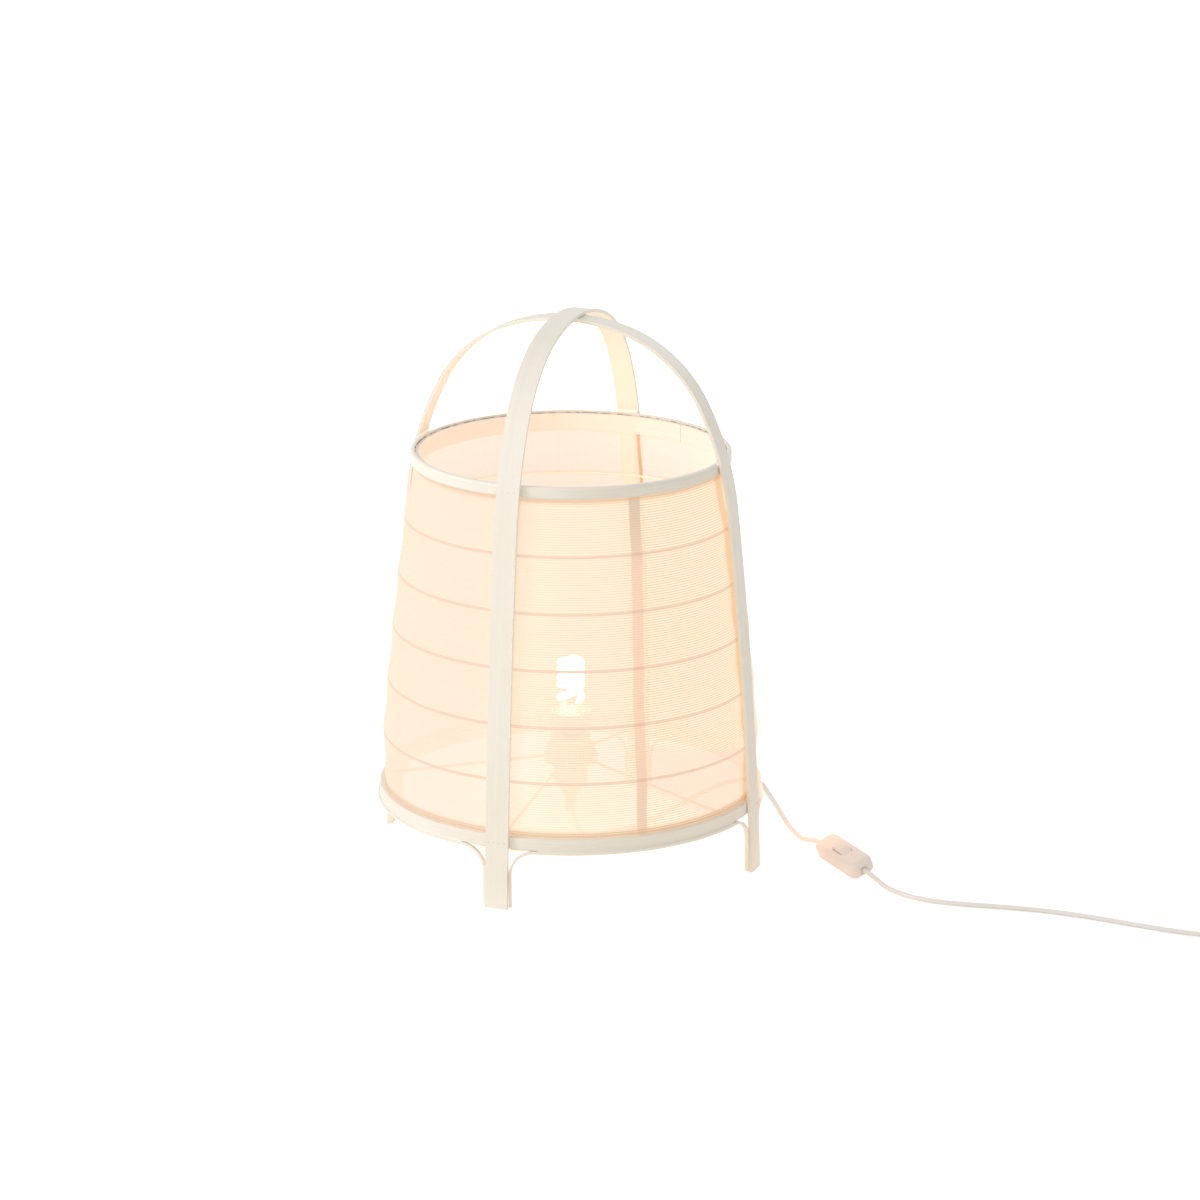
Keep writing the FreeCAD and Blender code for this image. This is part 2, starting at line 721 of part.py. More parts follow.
def build_holder():
    top = size["plate_top"]
    under = top - size["plate_thick"]
    rim = top + size["holder_collar_high"]
    neck = size["holder_neck_wide"] / 2
    collar = size["holder_collar_wide"] / 2
    bore = size["holder_bore_wide"] / 2
    cavity = size["holder_cavity_wide"] / 2
    neck_low = top - size["holder_neck_drop"]
    seat = top - size["holder_seat_drop"]
    gap = size["fit_gap"]
    keep(turned("holder_shell", [(bore, rim), (collar, rim), (collar, top), (neck, top), (neck, neck_low),
                                 (cavity, neck_low), (cavity, seat), (bore, seat)]), "holder_shell")
    ring_inner = collar + gap
    ring_outer = size["holder_ring_wide"] / 2
    ring_top = top + size["holder_ring_high"]
    ring = turned("holder_ring", [(ring_inner, top), (ring_outer, top), (ring_outer, ring_top),
                                  (ring_inner, ring_top)])
    rounded(ring, "holder_ring", size["holder_ring_round"],
            lambda edge: lies_at(ring_top)(edge) and is_ring_of(ring_outer)(edge))
    keep(ring, "holder_ring")

    cap = size["cap_wide"] / 2
    shoulder = top - size["cap_drop"]
    tail = shoulder - size["cap_cone_high"]
    floor = tail + size["cap_floor"]
    grip = size["grip_wide"] / 2
    cap_bore = neck + gap
    keep(turned("holder_cap", [(grip + gap, tail), (size["cap_cone_wide"] / 2, tail), (cap, shoulder),
                               (cap, under), (cap_bore, under), (cap_bore, neck_low - gap),
                               (cavity, neck_low - gap), (cavity, floor), (grip + gap, floor)]), "holder_cap")
    flange_top = floor + size["grip_flange_high"]
    cord_bore = size["cord_wide"] / 2 + gap
    grip_low = floor - size["grip_drop"]
    flange = size["grip_flange_wide"] / 2
    keep(turned("cord_grip", [(cord_bore, grip_low), (size["grip_end_wide"] / 2, grip_low), (grip, tail),
                              (grip, floor), (flange, floor), (flange, flange_top), (cord_bore, flange_top)]),
         "cord_grip")

    block_top = seat - gap
    block_low = block_top - size["block_high"]
    head_low = block_low - size["terminal_head_high"]
    screws = []
    for name, side in (("left", -1), ("right", 1)):
        across = SIZES["terminal_apart"] / 2 * side
        head = cylinder(f"terminal_head_{name}", size["terminal_head_wide"], size["terminal_head_high"],
                        (across, 0, head_low), (0, 0, 1))
        shank = cylinder(f"terminal_shank_{name}", size["terminal_shank_wide"], size["terminal_shank_long"],
                         (across, 0, block_low), (0, 0, 1))
        screws.append(fuse(f"terminal_{name}", [head, shank]))
    keep(group("terminal_screws", screws), "terminal_screws")
    blank = cylinder("block_blank", size["holder_cavity_wide"] - gap * 2, size["block_high"],
                     (0, 0, block_low), (0, 0, 1))
    keep(cut("contact_block", blank, parts[-1]), "contact_block")

    strip = box("contact_strip", (-size["contact_long"] / 2, -size["contact_wide"] / 2, block_top),
                (size["contact_long"], size["contact_wide"], size["contact_thick"]))
    dome = cylinder("contact_dome", size["contact_dome_wide"], size["contact_rise"],
                    (0, 0, block_top + size["contact_thick"]), (0, 0, 1))
    keep(fuse("centre_contact", [strip, dome]), "centre_contact")

    thread = size["bulb_cap_wide"] / 2 + size["thread_clear"]
    outside = thread + size["sleeve_wall"]
    lip = bore - gap
    sleeve_top = rim - size["sleeve_top_drop"]
    lip_low = sleeve_top - size["sleeve_wall"] * 2
    foot_top = block_top + size["sleeve_wall"] * 2
    keep(turned("screw_sleeve", [(thread, block_top), (lip, block_top), (lip, foot_top), (outside, foot_top),
                                 (outside, lip_low), (lip, lip_low), (lip, sleeve_top),
                                 (thread, sleeve_top)]), "screw_sleeve")
    return block_top + size["contact_thick"] + size["contact_rise"]


# Spiral bulb

def build_bulb(contact_top):
    tip_low = contact_top + size["bulb_gap"]
    tip_top = tip_low + size["bulb_tip_high"]
    tip = size["bulb_tip_wide"] / 2
    keep(cylinder("bulb_tip", size["bulb_tip_wide"], size["bulb_tip_high"], (0, 0, tip_low), (0, 0, 1)),
         "bulb_tip")
    collar_low = tip_top + size["bulb_gap"]
    cap_low = collar_low + size["bulb_collar_high"]
    cap_top = cap_low + size["bulb_cap_long"]
    cap = size["bulb_cap_wide"] / 2
    hollow = cap - size["bulb_cap_wall"]
    keep(turned("bulb_insulator", [(0, collar_low), (tip, collar_low), (hollow, cap_low), (0, cap_low)]),
         "bulb_insulator")
    keep(turned("bulb_cap", [(hollow, cap_low), (cap, cap_low), (cap, cap_top), (hollow, cap_top)]),
         "bulb_cap")
    neck = size["bulb_neck_wide"] / 2
    wide = size["bulb_housing_wide"] / 2
    flare = cap_top + size["bulb_flare_high"]
    top = cap_top + size["bulb_housing_high"]
    spigot = hollow - size["fit_gap"]
    housing = turned("bulb_housing", [(0, cap_low), (spigot, cap_low), (spigot, cap_top), (neck, cap_top),
                                      (wide, flare), (wide, top), (0, top)])
    rounded(housing, "bulb_housing", size["bulb_collar_high"],
            lambda edge: lies_at(top)(edge) and is_ring_of(wide)(edge))
    keep(housing, "bulb_housing")
    build_spiral(float(top))


def biarc(first, first_way, last, last_way):
    """Two tangent arcs from one point and direction to another."""
    first_way = Vector(first_way).normalize()
    last_way = Vector(last_way).normalize()
    gap = last - first
    both = first_way + last_way
    spread = 2 * (1 - first_way.dot(last_way))
    across = gap.dot(both)
    reach = (-across + math.sqrt(across ** 2 + spread * gap.dot(gap))) / spread
    corners = [first + first_way * reach, last - last_way * reach]
    joint = (corners[0] + corners[1]) * 0.5
    return [corner_arc(first, corners[0], joint), corner_arc(joint, corners[1], last)]


def corner_arc(start, corner, end):
    """The arc that leaves start towards the corner and arrives at end, both as far from the corner."""
    middle = (start + end) * 0.5
    half = (end - start).Length / 2
    rise = (corner - middle).Length
    sagitta = half * math.tan(math.atan2(rise, half) / 2)
    return Part.Arc(start, middle + (corner - middle) * (sagitta / rise), end)


def tube(curves, width):
    """A round tube along a chain of lines and arcs, its volume held against section times length."""
    wire = Part.Wire([curve.toShape() for curve in curves])
    start = curves[0].StartPoint
    way = curves[0].tangent(curves[0].FirstParameter)[0]
    section = Part.Wire([Part.Circle(start, way, width / 2).toShape()])
    shape = wire.makePipeShell([section], True, False)
    plain = math.pi * (width / 2) ** 2 * wire.Length
    assert abs(shape.Volume / plain - 1) < 0.01, f"tube volume {shape.Volume:.0f} against {plain:.0f}"
    return shape


def least_gap(curves, width, apart):
    """The least gap of a tube to itself, between points that lie well apart along it."""
    wire = Part.Wire([curve.toShape() for curve in curves])
    step = width / 2
    count = int(wire.Length / step)
    points = wire.discretize(Number=count + 1)
    skip = int(apart / step)
    nearest = min((points[here] - points[there]).Length
                  for here in range(count + 1) for there in range(here + skip, count + 1))
    return nearest - width


def build_spiral(base):
    """Two interleaved coils of one glass tube, joined by a double curve on top, both legs on the housing."""
    width = SIZES["spiral_tube_wide"]
    radius = (SIZES["spiral_wide"] - width) / 2
    bend = SIZES["spiral_leg_bend"]
    pitch = SIZES["spiral_pitch"]
    start_high = base + width + bend
    climb = pitch / (2 * math.pi * radius)
    quarter = math.pi / 2
    steps = round(SIZES["spiral_turns"] * 4)
    first_rise = SIZES["spiral_first_rise"]

    def rise(index):
        # The first half turn is steeper than the close turns above it
        return first_rise * index / 2 if index < 2 else first_rise + pitch * (index - 2) / 4

    def on_coil(index):
        angle = index * quarter
        near = 0.5
        slope = (rise(index + near) - rise(index - near)) / (2 * near * quarter * radius)
        return polar(radius, angle, start_high + rise(index)), polar(1.0, angle + quarter) + UP * slope

    foot, way = on_coil(0)
    level = Vector(way.x, way.y, 0)
    knee = foot - level * bend - UP * bend
    half = [Part.LineSegment(knee - UP * width, knee)]
    half += biarc(knee, UP, foot, way)
    for index in range(steps):
        half += biarc(*on_coil(index), *on_coil(index + 1))
    end, way = on_coil(steps)
    middle = Vector(0, 0, end.z + radius * climb * quarter)
    half += biarc(end, way, middle, Vector(-way.x, -way.y, 0))
    # The other half is the same coil half a turn round, run the other way
    back = []
    for curve in reversed(half):
        first, last = curve.FirstParameter, curve.LastParameter
        points = [curve.value(at) for at in (last, (first + last) / 2, first)]
        points = [Vector(-point.x, -point.y, point.z) for point in points]
        is_straight = isinstance(curve, Part.LineSegment)
        back.append(Part.LineSegment(points[0], points[2]) if is_straight else Part.Arc(*points))
    curves = half + back
    print(f"bulb spiral: least gap {least_gap(curves, width, 3 * width):.2f} mm")
    keep(solid_feature("bulb_spiral", tube(curves, width)), "bulb_spiral")


# Cord

def on_switch(along, high):
    return SWITCH_PLACE.multVec(Vector(along, 0, high))


def on_plug(along):
    return PLUG_PLACE.multVec(Vector(along, 0, SIZES["plug_high"] / 2))


def route(name, points):
    """Straight runs joined by tangent arcs, each as large as its two runs allow."""
    curves = []
    start = points[0]
    radii = []
    for before, corner, after in zip(points, points[1:], points[2:]):
        way_in = corner - before
        way_out = after - corner
        reach = BEND_SHARE * min(way_in.Length, way_out.Length)
        leave = corner - way_in.normalize() * reach
        meet = corner + way_out.normalize() * reach
        radii.append(reach / math.tan(way_in.getAngle(way_out) / 2))
        curves.append(Part.LineSegment(start, leave))
        curves.append(corner_arc(leave, corner, meet))
        start = meet
    curves.append(Part.LineSegment(start, points[-1]))
    print(f"{name}: radii " + " ".join(f"{radius:.0f}" for radius in radii) + " mm")
    return curves


def coil_curves():
    """A flat coil of two layers: in along the floor, up a layer where it reverses, and out again."""
    step, turns = SIZES["coil_step"], SIZES["coil_turns"]
    low = SIZES["coil_lift"] + SIZES["cord_wide"] / 2
    whole = 2 * turns + COIL_CLIMB
    inmost = SIZES["coil_radius"] - step * whole / 2

    def on_coil(turn):
        out = inmost + step * abs(turn - whole / 2)
        up = low + step * min(1.0, max(0.0, (turn - turns) / COIL_CLIMB))
        return COIL_PLACE + polar(out, 2 * math.pi * turn - math.pi / 2, up)

    def way_at(turn):
        # At the two ends the coil runs straight on, level and along X
        if turn in (0.0, whole):
            return Vector(1, 0, 0) if turn == 0.0 else polar(1.0, 2 * math.pi * whole)
        near = 1e-4
        return on_coil(turn + near) - on_coil(turn - near)

    steps = round(whole * 4)
    marks = [whole * index / steps for index in range(steps + 1)]
    end = SIZES["cord_wide"]
    curves = [Part.LineSegment(on_coil(0.0) - way_at(0.0) * end, on_coil(0.0))]
    for here, there in zip(marks, marks[1:]):
        curves += biarc(on_coil(here), way_at(here), on_coil(there), way_at(there))
    curves.append(Part.LineSegment(on_coil(whole), on_coil(whole) + way_at(whole) * end))
    return curves


def build_cords():
    width = SIZES["cord_wide"]
    floor = width / 2
    in_switch = SIZES["switch_long"] / 2 - SIZES["switch_wall"]
    high = SIZES["switch_cord_high"]
    lamp_side = [Vector(0, 0, SIZES["cord_top"]), Vector(0, 0, floor)]
    lamp_side += [Vector(x, y, floor) for x, y in UNDER_LAMP]
    lamp_side += [on_switch(-in_switch - SIZES["run_before_switch"], high), on_switch(-in_switch, high)]
    coil = coil_curves()
    coil_start = coil[0].StartPoint
    coil_end = coil[-1].EndPoint
    far_side = [on_switch(in_switch, high), on_switch(in_switch + SIZES["run_after_switch"], high)]
    far_side += [Vector(x, y, floor) for x, y in BESIDE_LAMP]
    far_side += [coil_start - Vector(SIZES["run_before_coil"], 0, 0), coil_start]
    in_plug = -SIZES["plug_long"]
    plug_side = [coil_end, coil_end + Vector(SIZES["run_after_coil"], 0, 0)]
    plug_side += [on_plug(in_plug - SIZES["run_before_plug"]), on_plug(in_plug)]
    lengths = []
    routes = {"cord_to_switch": lamp_side, "cord_to_coil": far_side, "cord_to_plug": plug_side}
    for name, points in routes.items():
        curves = route(name, points)
        lengths.append(sum(curve.length() for curve in curves))
        keep(solid_feature(name, tube(curves, width)), name)
    lengths.append(sum(curve.length() for curve in coil))
    print("cord lengths " + " ".join(f"{length:.0f}" for length in lengths) + " mm")
    print(f"coil: least gap {least_gap(coil, width, 5 * width):.2f} mm")
    keep(solid_feature("cord_coil", tube(coil, width)), "cord_coil")

    # The tie goes round the coil's bundle on the side away from the lamp
    thick, gap = SIZES["tie_thick"], SIZES["fit_gap"]
    deep = SIZES["coil_step"] * (SIZES["coil_turns"] + COIL_CLIMB / 2)
    near = SIZES["coil_radius"] - deep - floor - SIZES["tie_gap"]
    far = SIZES["coil_radius"] + floor + SIZES["tie_gap"]
    bundle_high = width + SIZES["coil_step"] + 2 * gap
    low = SIZES["coil_lift"] - gap
    corner = COIL_PLACE + Vector(near, -SIZES["tie_wide"] / 2, low)
    hole = box("tie_hole", corner, (far - near, SIZES["tie_wide"], bundle_high))
    strap = box("tie_strap", corner - Vector(thick, 0, low),
                (far - near + 2 * thick, SIZES["tie_wide"], low + bundle_high + thick))
    keep(cut("cord_tie", strap, hole), "cord_tie")


# Inline switch

def build_switch():
    long, wide, high = size["switch_long"], size["switch_wide"], size["switch_high"]
    split, wall = size["switch_split"], size["switch_wall"]
    inside = clipped_rectangle(long - wall * 2, wide - wall * 2, size["switch_corner"] - wall * 2)
    pivot = size["pivot_high"]
    roof = high - size["switch_roof"]
    along = size["rocker_along"]

    base = new_body("switch_base_body")
    padded(base, "switch_base", rectangle(long, wide), split)
    rounded(base, "switch_base_corner", size["switch_corner"], is_upright)
    rounded(base, "switch_base_edge", size["switch_foot_edge"], lies_at(0))
    pocketed(base, "switch_base_inside", inside, split - wall, split)

    cover = new_body("switch_cover_body")
    cover_pad = padded(cover, "switch_cover", rectangle(long, wide), high - split)
    cover_pad.Profile[0].setExpression("AttachmentOffset.Base.z", split.text)
    doc.recompute()
    rounded(cover, "switch_cover_corner", size["switch_corner"], is_upright)
    rounded(cover, "switch_cover_edge", size["switch_edge"], lies_at(high))
    pocketed(cover, "switch_cover_inside", inside, roof - split, split, True)
    slot_long = size["rocker_long"] + size["rocker_gap"] * 2
    slot_wide = size["rocker_wide"] + size["rocker_side_gap"] * 2
    slot = [(across + along, aside) for across, aside in rectangle(slot_long, slot_wide)]
    pocketed(cover, "switch_slot", slot, high - roof, high)
    rounded(cover, "switch_slot_corner", size["slot_corner"],
            lambda edge: is_upright(edge) and is_sharp_corner(edge, slot_long, slot_wide, along))

    # Cheeks under the roof carry the rocker's pin, and bosses take the two screws from below
    cheek_near = slot_wide / 2
    cheek_low = pivot - size["cheek_drop"]
    cheeks = []
    for name, start in (("left", -cheek_near - size["cheek_thick"]), ("right", cheek_near)):
        cheeks.append(box(f"switch_cheek_{name}", (along - size["cheek_long"] / 2, start, cheek_low),
                          (size["cheek_long"], size["cheek_thick"], roof - cheek_low)))
    cover_bosses = []
    base_bosses = []
    screws = []
    for name, side in (("near", -1), ("far", 1)):
        across = SIZES["screw_reach"] * side
        cover_bosses.append(cylinder(f"cover_boss_{name}", size["boss_wide"], roof - split,
                                     (across, 0, split), (0, 0, 1)))
        base_bosses.append(cylinder(f"base_boss_{name}", size["boss_wide"], split - wall,
                                    (across, 0, wall), (0, 0, 1)))
        head = cylinder(f"screw_head_{name}", size["screw_head_wide"], size["screw_head_high"],
                        (across, 0, 0), (0, 0, 1))
        shank = cylinder(f"screw_shank_{name}", size["screw_wide"], roof - wall, (across, 0, 0), (0, 0, 1))
        screws.append(fuse(f"switch_screw_{name}", [head, shank]))
    screw_group = group("switch_screw_pair", screws)
    pin_long = slot_wide + size["cheek_thick"] * 2
    pin = cylinder("switch_pin_rod", size["pivot_wide"], pin_long, (along, -pin_long / 2, pivot), (0, 1, 0))
    cord_bore = size["cord_wide"] + size["fit_gap"] * 2
    drill = cylinder("switch_cord_bore", cord_bore, long * 2, (-long, 0, size["switch_cord_high"]), (1, 0, 0))
    middle = box("switch_cord_stop", (-long / 2 + wall, -cord_bore / 2, 0),
                 (long - wall * 2, cord_bore, high))
    bores = cut("switch_cord_holes", drill, middle)
    deep, notch_wide = size["cord_notch_deep"], size["cord_notch_wide"]
    notch_low = size["switch_cord_high"] - size["cord_notch_drop"]
    notches = [box(f"cord_notch_{name}", (end - deep, -notch_wide / 2, notch_low), (deep * 2, notch_wide, split))
               for name, end in (("near", -long / 2), ("far", long / 2))]
    doc.recompute()
    base_tools = group("switch_base_tools", [screw_group, bores] + notches)
    cover_tools = group("switch_cover_tools", [screw_group, pin])
    whole_base = cut("switch_base_cut", fuse("switch_base_whole", [base] + base_bosses), base_tools)
    cover_blank = fuse("switch_cover_whole", [cover] + cheeks + cover_bosses)
    whole_cover = cut("switch_cover_cut", cover_blank, cover_tools)

    # The rocker has two slopes that meet in a crest, and lies tipped, as when the lamp is on
    half = size["rocker_long"] / 2
    rocker = new_body("switch_rocker_body")
    crest = size["rocker_rise"]
    end = crest - size["rocker_fall"]
    low = -size["rocker_drop"]
    shoulder = low + size["pivot_wide"]
    padded(rocker, "switch_rocker", [(-half, end), (-half, shoulder), (-half / 2, low), (half / 2, low),
                                     (half, shoulder), (half, end), (0, crest)],
           size["rocker_wide"], "XZ_Plane", True)
    rounded(rocker, "switch_rocker_corner", size["rocker_corner"], is_upright)
    eye = cylinder("rocker_eye", size["pivot_wide"] + size["pivot_clear"] * 2, size["rocker_wide"] * 2,
                   (0, -size["rocker_wide"], 0), (0, 1, 0))
    tipped = cut("switch_rocker_cut", rocker, eye)
    tilt = Rotation(Vector(0, 1, 0), SIZES["rocker_tilt"])
    tipped.Placement = Placement(Vector(along.value, 0, pivot.value), tilt)

    contacts = []
    apart = size["contact_wide"]
    for name, start in (("near", -size["contact_long"] - apart), ("far", apart)):
        contacts.append(box(f"switch_contact_{name}", (start, -size["contact_wide"] / 2, wall),
                            (size["contact_long"], size["contact_wide"], size["contact_thick"])))
    contact_group = group("switch_contact_pair", contacts)
    doc.recompute()
    pieces = {"switch_base": whole_base, "switch_cover": whole_cover, "switch_rocker": tipped,
              "switch_pin": pin, "switch_contacts": contact_group, "switch_screws": screw_group}
    for name, item in pieces.items():
        keep_at(name, item, SWITCH_PLACE)


def is_sharp_corner(edge, long, wide, along):
    """True for an upright edge at a corner of a rectangle whose middle is set along the switch."""
    point = edge.Vertexes[0].Point
    return math.hypot(abs(point.x - float(along)) - float(long) / 2, abs(point.y) - float(wide) / 2) < SMALL


# Plug

def build_plug():
    face = size["plug_wide"] / 2
    back = size["plug_back_wide"] / 2
    long = size["plug_long"]
    body = new_body("plug_body_blank")
    front = -size["plug_face_long"]
    padded(body, "plug_body", [(0, -face), (0, face), (front, face), (-long, back), (-long, -back),
                               (front, -face)], size["plug_high"])
    rounded(body, "plug_body", size["plug_round"], lambda edge: edge.BoundBox.XMax < -SMALL)
    middle = size["plug_high"] / 2
    pins = []
    for name, side in (("left", -1), ("right", 1)):
        across = SIZES["pin_apart"] / 2 * side
        root = cylinder(f"plug_pin_root_{name}", size["pin_root_wide"], size["pin_root"],
                        (-size["pin_root"], across, middle), (1, 0, 0))
        blade = cylinder(f"plug_pin_blade_{name}", size["pin_wide"], size["pin_long"],
                         (0, across, middle), (1, 0, 0))
        pins.append(fuse(f"plug_pin_{name}", [root, blade]))
    pin_group = group("plug_pin_pair", pins)
    relief_start = -long - size["relief_long"]
    cone = doc.addObject("Part::Cone", "relief_cone")
    bind(cone, Radius1=size["relief_end_wide"] / 2, Radius2=size["relief_wide"] / 2,
         Height=size["relief_long"])
    cone.Placement = Placement(Vector(float(relief_start), 0, float(middle)), Rotation(Vector(0, 1, 0), 90.0))
    bore = cylinder("relief_bore", size["cord_wide"] + size["fit_gap"] * 2, long * 2,
                    (relief_start - long / 2, 0, middle), (1, 0, 0))
    doc.recompute()
    keep_at("plug_body", cut("plug_body_cut", body, pin_group), PLUG_PLACE)
    keep_at("plug_pins", pin_group, PLUG_PLACE)
    keep_at("plug_relief", cut("plug_relief_cut", cone, bore), PLUG_PLACE)


build_frame()
build_cloth()
build_splints()
build_braces()
build_bracket()
build_bulb(build_holder())
build_cords()
build_switch()
build_plug()
doc.recompute()

failed = [item.Name for item in doc.Objects if "Invalid" in item.State or "Error" in item.State]
assert not failed, f"failed objects: {failed}"
for item in parts:
    assert not item.Shape.isNull() and item.Shape.isValid(), f"{item.Label} has no valid shape"
os.makedirs("parts", exist_ok=True)
for item in parts:
    item.Shape.exportStep(f"parts/{item.Label}.step")
print(f"{len(parts)} parts written")
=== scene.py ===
import math

import bmesh
import bpy
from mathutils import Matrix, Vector


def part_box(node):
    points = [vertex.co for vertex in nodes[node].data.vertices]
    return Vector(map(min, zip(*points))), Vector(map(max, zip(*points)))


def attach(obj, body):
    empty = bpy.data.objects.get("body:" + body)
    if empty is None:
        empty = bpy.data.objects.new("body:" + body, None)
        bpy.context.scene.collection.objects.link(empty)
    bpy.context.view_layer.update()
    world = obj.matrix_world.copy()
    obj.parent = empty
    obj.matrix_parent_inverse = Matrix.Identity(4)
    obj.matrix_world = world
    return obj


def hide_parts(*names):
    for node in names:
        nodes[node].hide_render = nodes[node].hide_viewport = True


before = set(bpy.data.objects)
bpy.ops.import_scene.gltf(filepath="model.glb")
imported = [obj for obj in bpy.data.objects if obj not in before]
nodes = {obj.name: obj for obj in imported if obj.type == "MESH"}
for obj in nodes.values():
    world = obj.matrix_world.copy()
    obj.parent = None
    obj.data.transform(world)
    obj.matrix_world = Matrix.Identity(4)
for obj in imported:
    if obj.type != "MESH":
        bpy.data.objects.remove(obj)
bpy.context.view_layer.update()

# A bamboo table lamp: bent strips, two rings, a stretched cloth shade lit from inside, a cord with its switch
scene = bpy.context.scene
scene.view_settings.view_transform = "Standard"
MM = 0.001


# Shader arithmetic

class Wire:
    """A shader socket that takes part in arithmetic; each operation adds its Math node."""

    def __init__(self, paint, socket):
        self.paint = paint
        self.socket = socket

    def math(self, operation, *values):
        return self.paint.node("ShaderNodeMath", {"operation": operation}, values)

    def __add__(self, other):
        return self.math("ADD", self, other)

    __radd__ = __add__

    def __sub__(self, other):
        return self.math("SUBTRACT", self, other)

    def __rsub__(self, other):
        return self.math("SUBTRACT", other, self)

    def __mul__(self, other):
        return self.math("MULTIPLY", self, other)

    __rmul__ = __mul__

    def __truediv__(self, other):
        return self.math("DIVIDE", self, other)

    def __pow__(self, other):
        return self.math("POWER", self, other)

    def __abs__(self):
        return self.math("ABSOLUTE", self)


class Tree:
    """A node tree under making: one method adds any node, with its settings and its sockets' values or links."""

    family = "ShaderNode"

    def node(self, kind, settings=None, inputs=(), output=0):
        made = self.tree.nodes.new(kind if "Node" in kind else self.family + kind)
        for name, value in (settings or {}).items():
            setattr(made, name, value)
        for key, value in inputs.items() if isinstance(inputs, dict) else enumerate(inputs):
            self.join(value, made.inputs[key])
        return Wire(self, made.outputs[output])

    def join(self, value, socket):
        if isinstance(value, Wire):
            self.tree.links.new(value.socket, socket)
        else:
            socket.default_value = value

    def seen(self):
        """1 for the rays that show in the picture: straight to the camera, mirrored or through something clear."""
        path = self.node("LightPath").socket.node
        rays = Wire(self, path.outputs["Is Camera Ray"])
        for name in ("Is Glossy Ray", "Is Transmission Ray"):
            rays = rays.math("MAXIMUM", rays, Wire(self, path.outputs[name]))
        return rays


class Paint(Tree):
    """A material under making, with its shader and the steps that the finishes share."""

    def __init__(self, name):
        self.material = bpy.data.materials.new(name)
        self.material.use_nodes = True
        self.tree = self.material.node_tree
        self.shader = self.tree.nodes["Principled BSDF"]

    def set(self, **sockets):
        for name, value in sockets.items():
            self.join(value, self.shader.inputs[name.replace("_", " ")])
        return self

    def place(self, source="Object"):
        split = self.node("SeparateXYZ", None, (self.node("TexCoord", None, (), source),)).socket.node
        return [Wire(self, socket) for socket in split.outputs]

    def point(self, x, y, z):
        return self.node("CombineXYZ", None, (x, y, z))

    def noise(self, vector, scale=1.0, detail=2.0):
        return self.node("TexNoise", None, {"Vector": vector, "Scale": scale, "Detail": detail})

    def ramp(self, value, low, high):
        """0 below low, 1 above high, smooth between."""
        return self.node("MapRange", {"interpolation_type": "SMOOTHSTEP"},
                         {"Value": value, "From Min": low, "From Max": high})

    def mix(self, factor, first, second):
        return self.node("Mix", {"data_type": "RGBA", "clamp_factor": True},
                         {0: factor, 6: first, 7: second}, 2)

    def bump(self, height, strength, distance):
        return self.node("Bump", None, {"Height": height, "Strength": strength, "Distance": distance}, "Normal")


class Pattern(Tree):
    """A Geometry Nodes tree with named sizes, for what repeats; plain_mesh turns its result into a mesh."""

    family = "GeometryNode"

    def __init__(self, name, **sizes):
        self.name = name
        self.tree = bpy.data.node_groups.new(name, "GeometryNodeTree")
        self.tree.interface.new_socket(name="Geometry", in_out="OUTPUT", socket_type="NodeSocketGeometry")
        self.sizes = {}
        for label, value in sizes.items():
            kind = "NodeSocketInt" if isinstance(value, int) else "NodeSocketFloat"
            socket = self.tree.interface.new_socket(name=label, in_out="INPUT", socket_type=kind)
            self.sizes[label] = (socket.identifier, value)
        self.source = self.tree.nodes.new("NodeGroupInput")
        self.result = self.tree.nodes.new("NodeGroupOutput")

    def size(self, label):
        return Wire(self, self.source.outputs[label])

    def vary(self, low, high, seed):
        return self.node("FunctionNodeRandomValue", {"data_type": "FLOAT"}, {2: low, 3: high, "Seed": seed}, 1)

    def point(self, x, y, z):
        return self.node("ShaderNodeCombineXYZ", None, (x, y, z))

    def plain_mesh(self, piece_name, geometry, material):
        whole = self.node("RealizeInstances", None, (geometry,))
        whole = self.node("SetShadeSmooth", None, {"Geometry": whole})
        whole = self.node("SetMaterial", None, {"Geometry": whole, "Material": material})
        self.join(whole, self.result.inputs[0])
        carrier = bpy.data.objects.new(piece_name + " carrier", bpy.data.meshes.new(piece_name + " carrier"))
        scene.collection.objects.link(carrier)
        modifier = carrier.modifiers.new(self.name, "NODES")
        modifier.node_group = self.tree
        for identifier, value in self.sizes.values():
            modifier[identifier] = value
        mesh = bpy.data.meshes.new_from_object(carrier.evaluated_get(bpy.context.evaluated_depsgraph_get()))
        bpy.data.objects.remove(carrier)
        mesh.name = piece_name
        if not mesh.materials:
            mesh.materials.append(material)
        piece = bpy.data.objects.new(piece_name, mesh)
        scene.collection.objects.link(piece)
        return piece


def colour(red, green, blue):
    return (red, green, blue, 1.0)


# Finishes

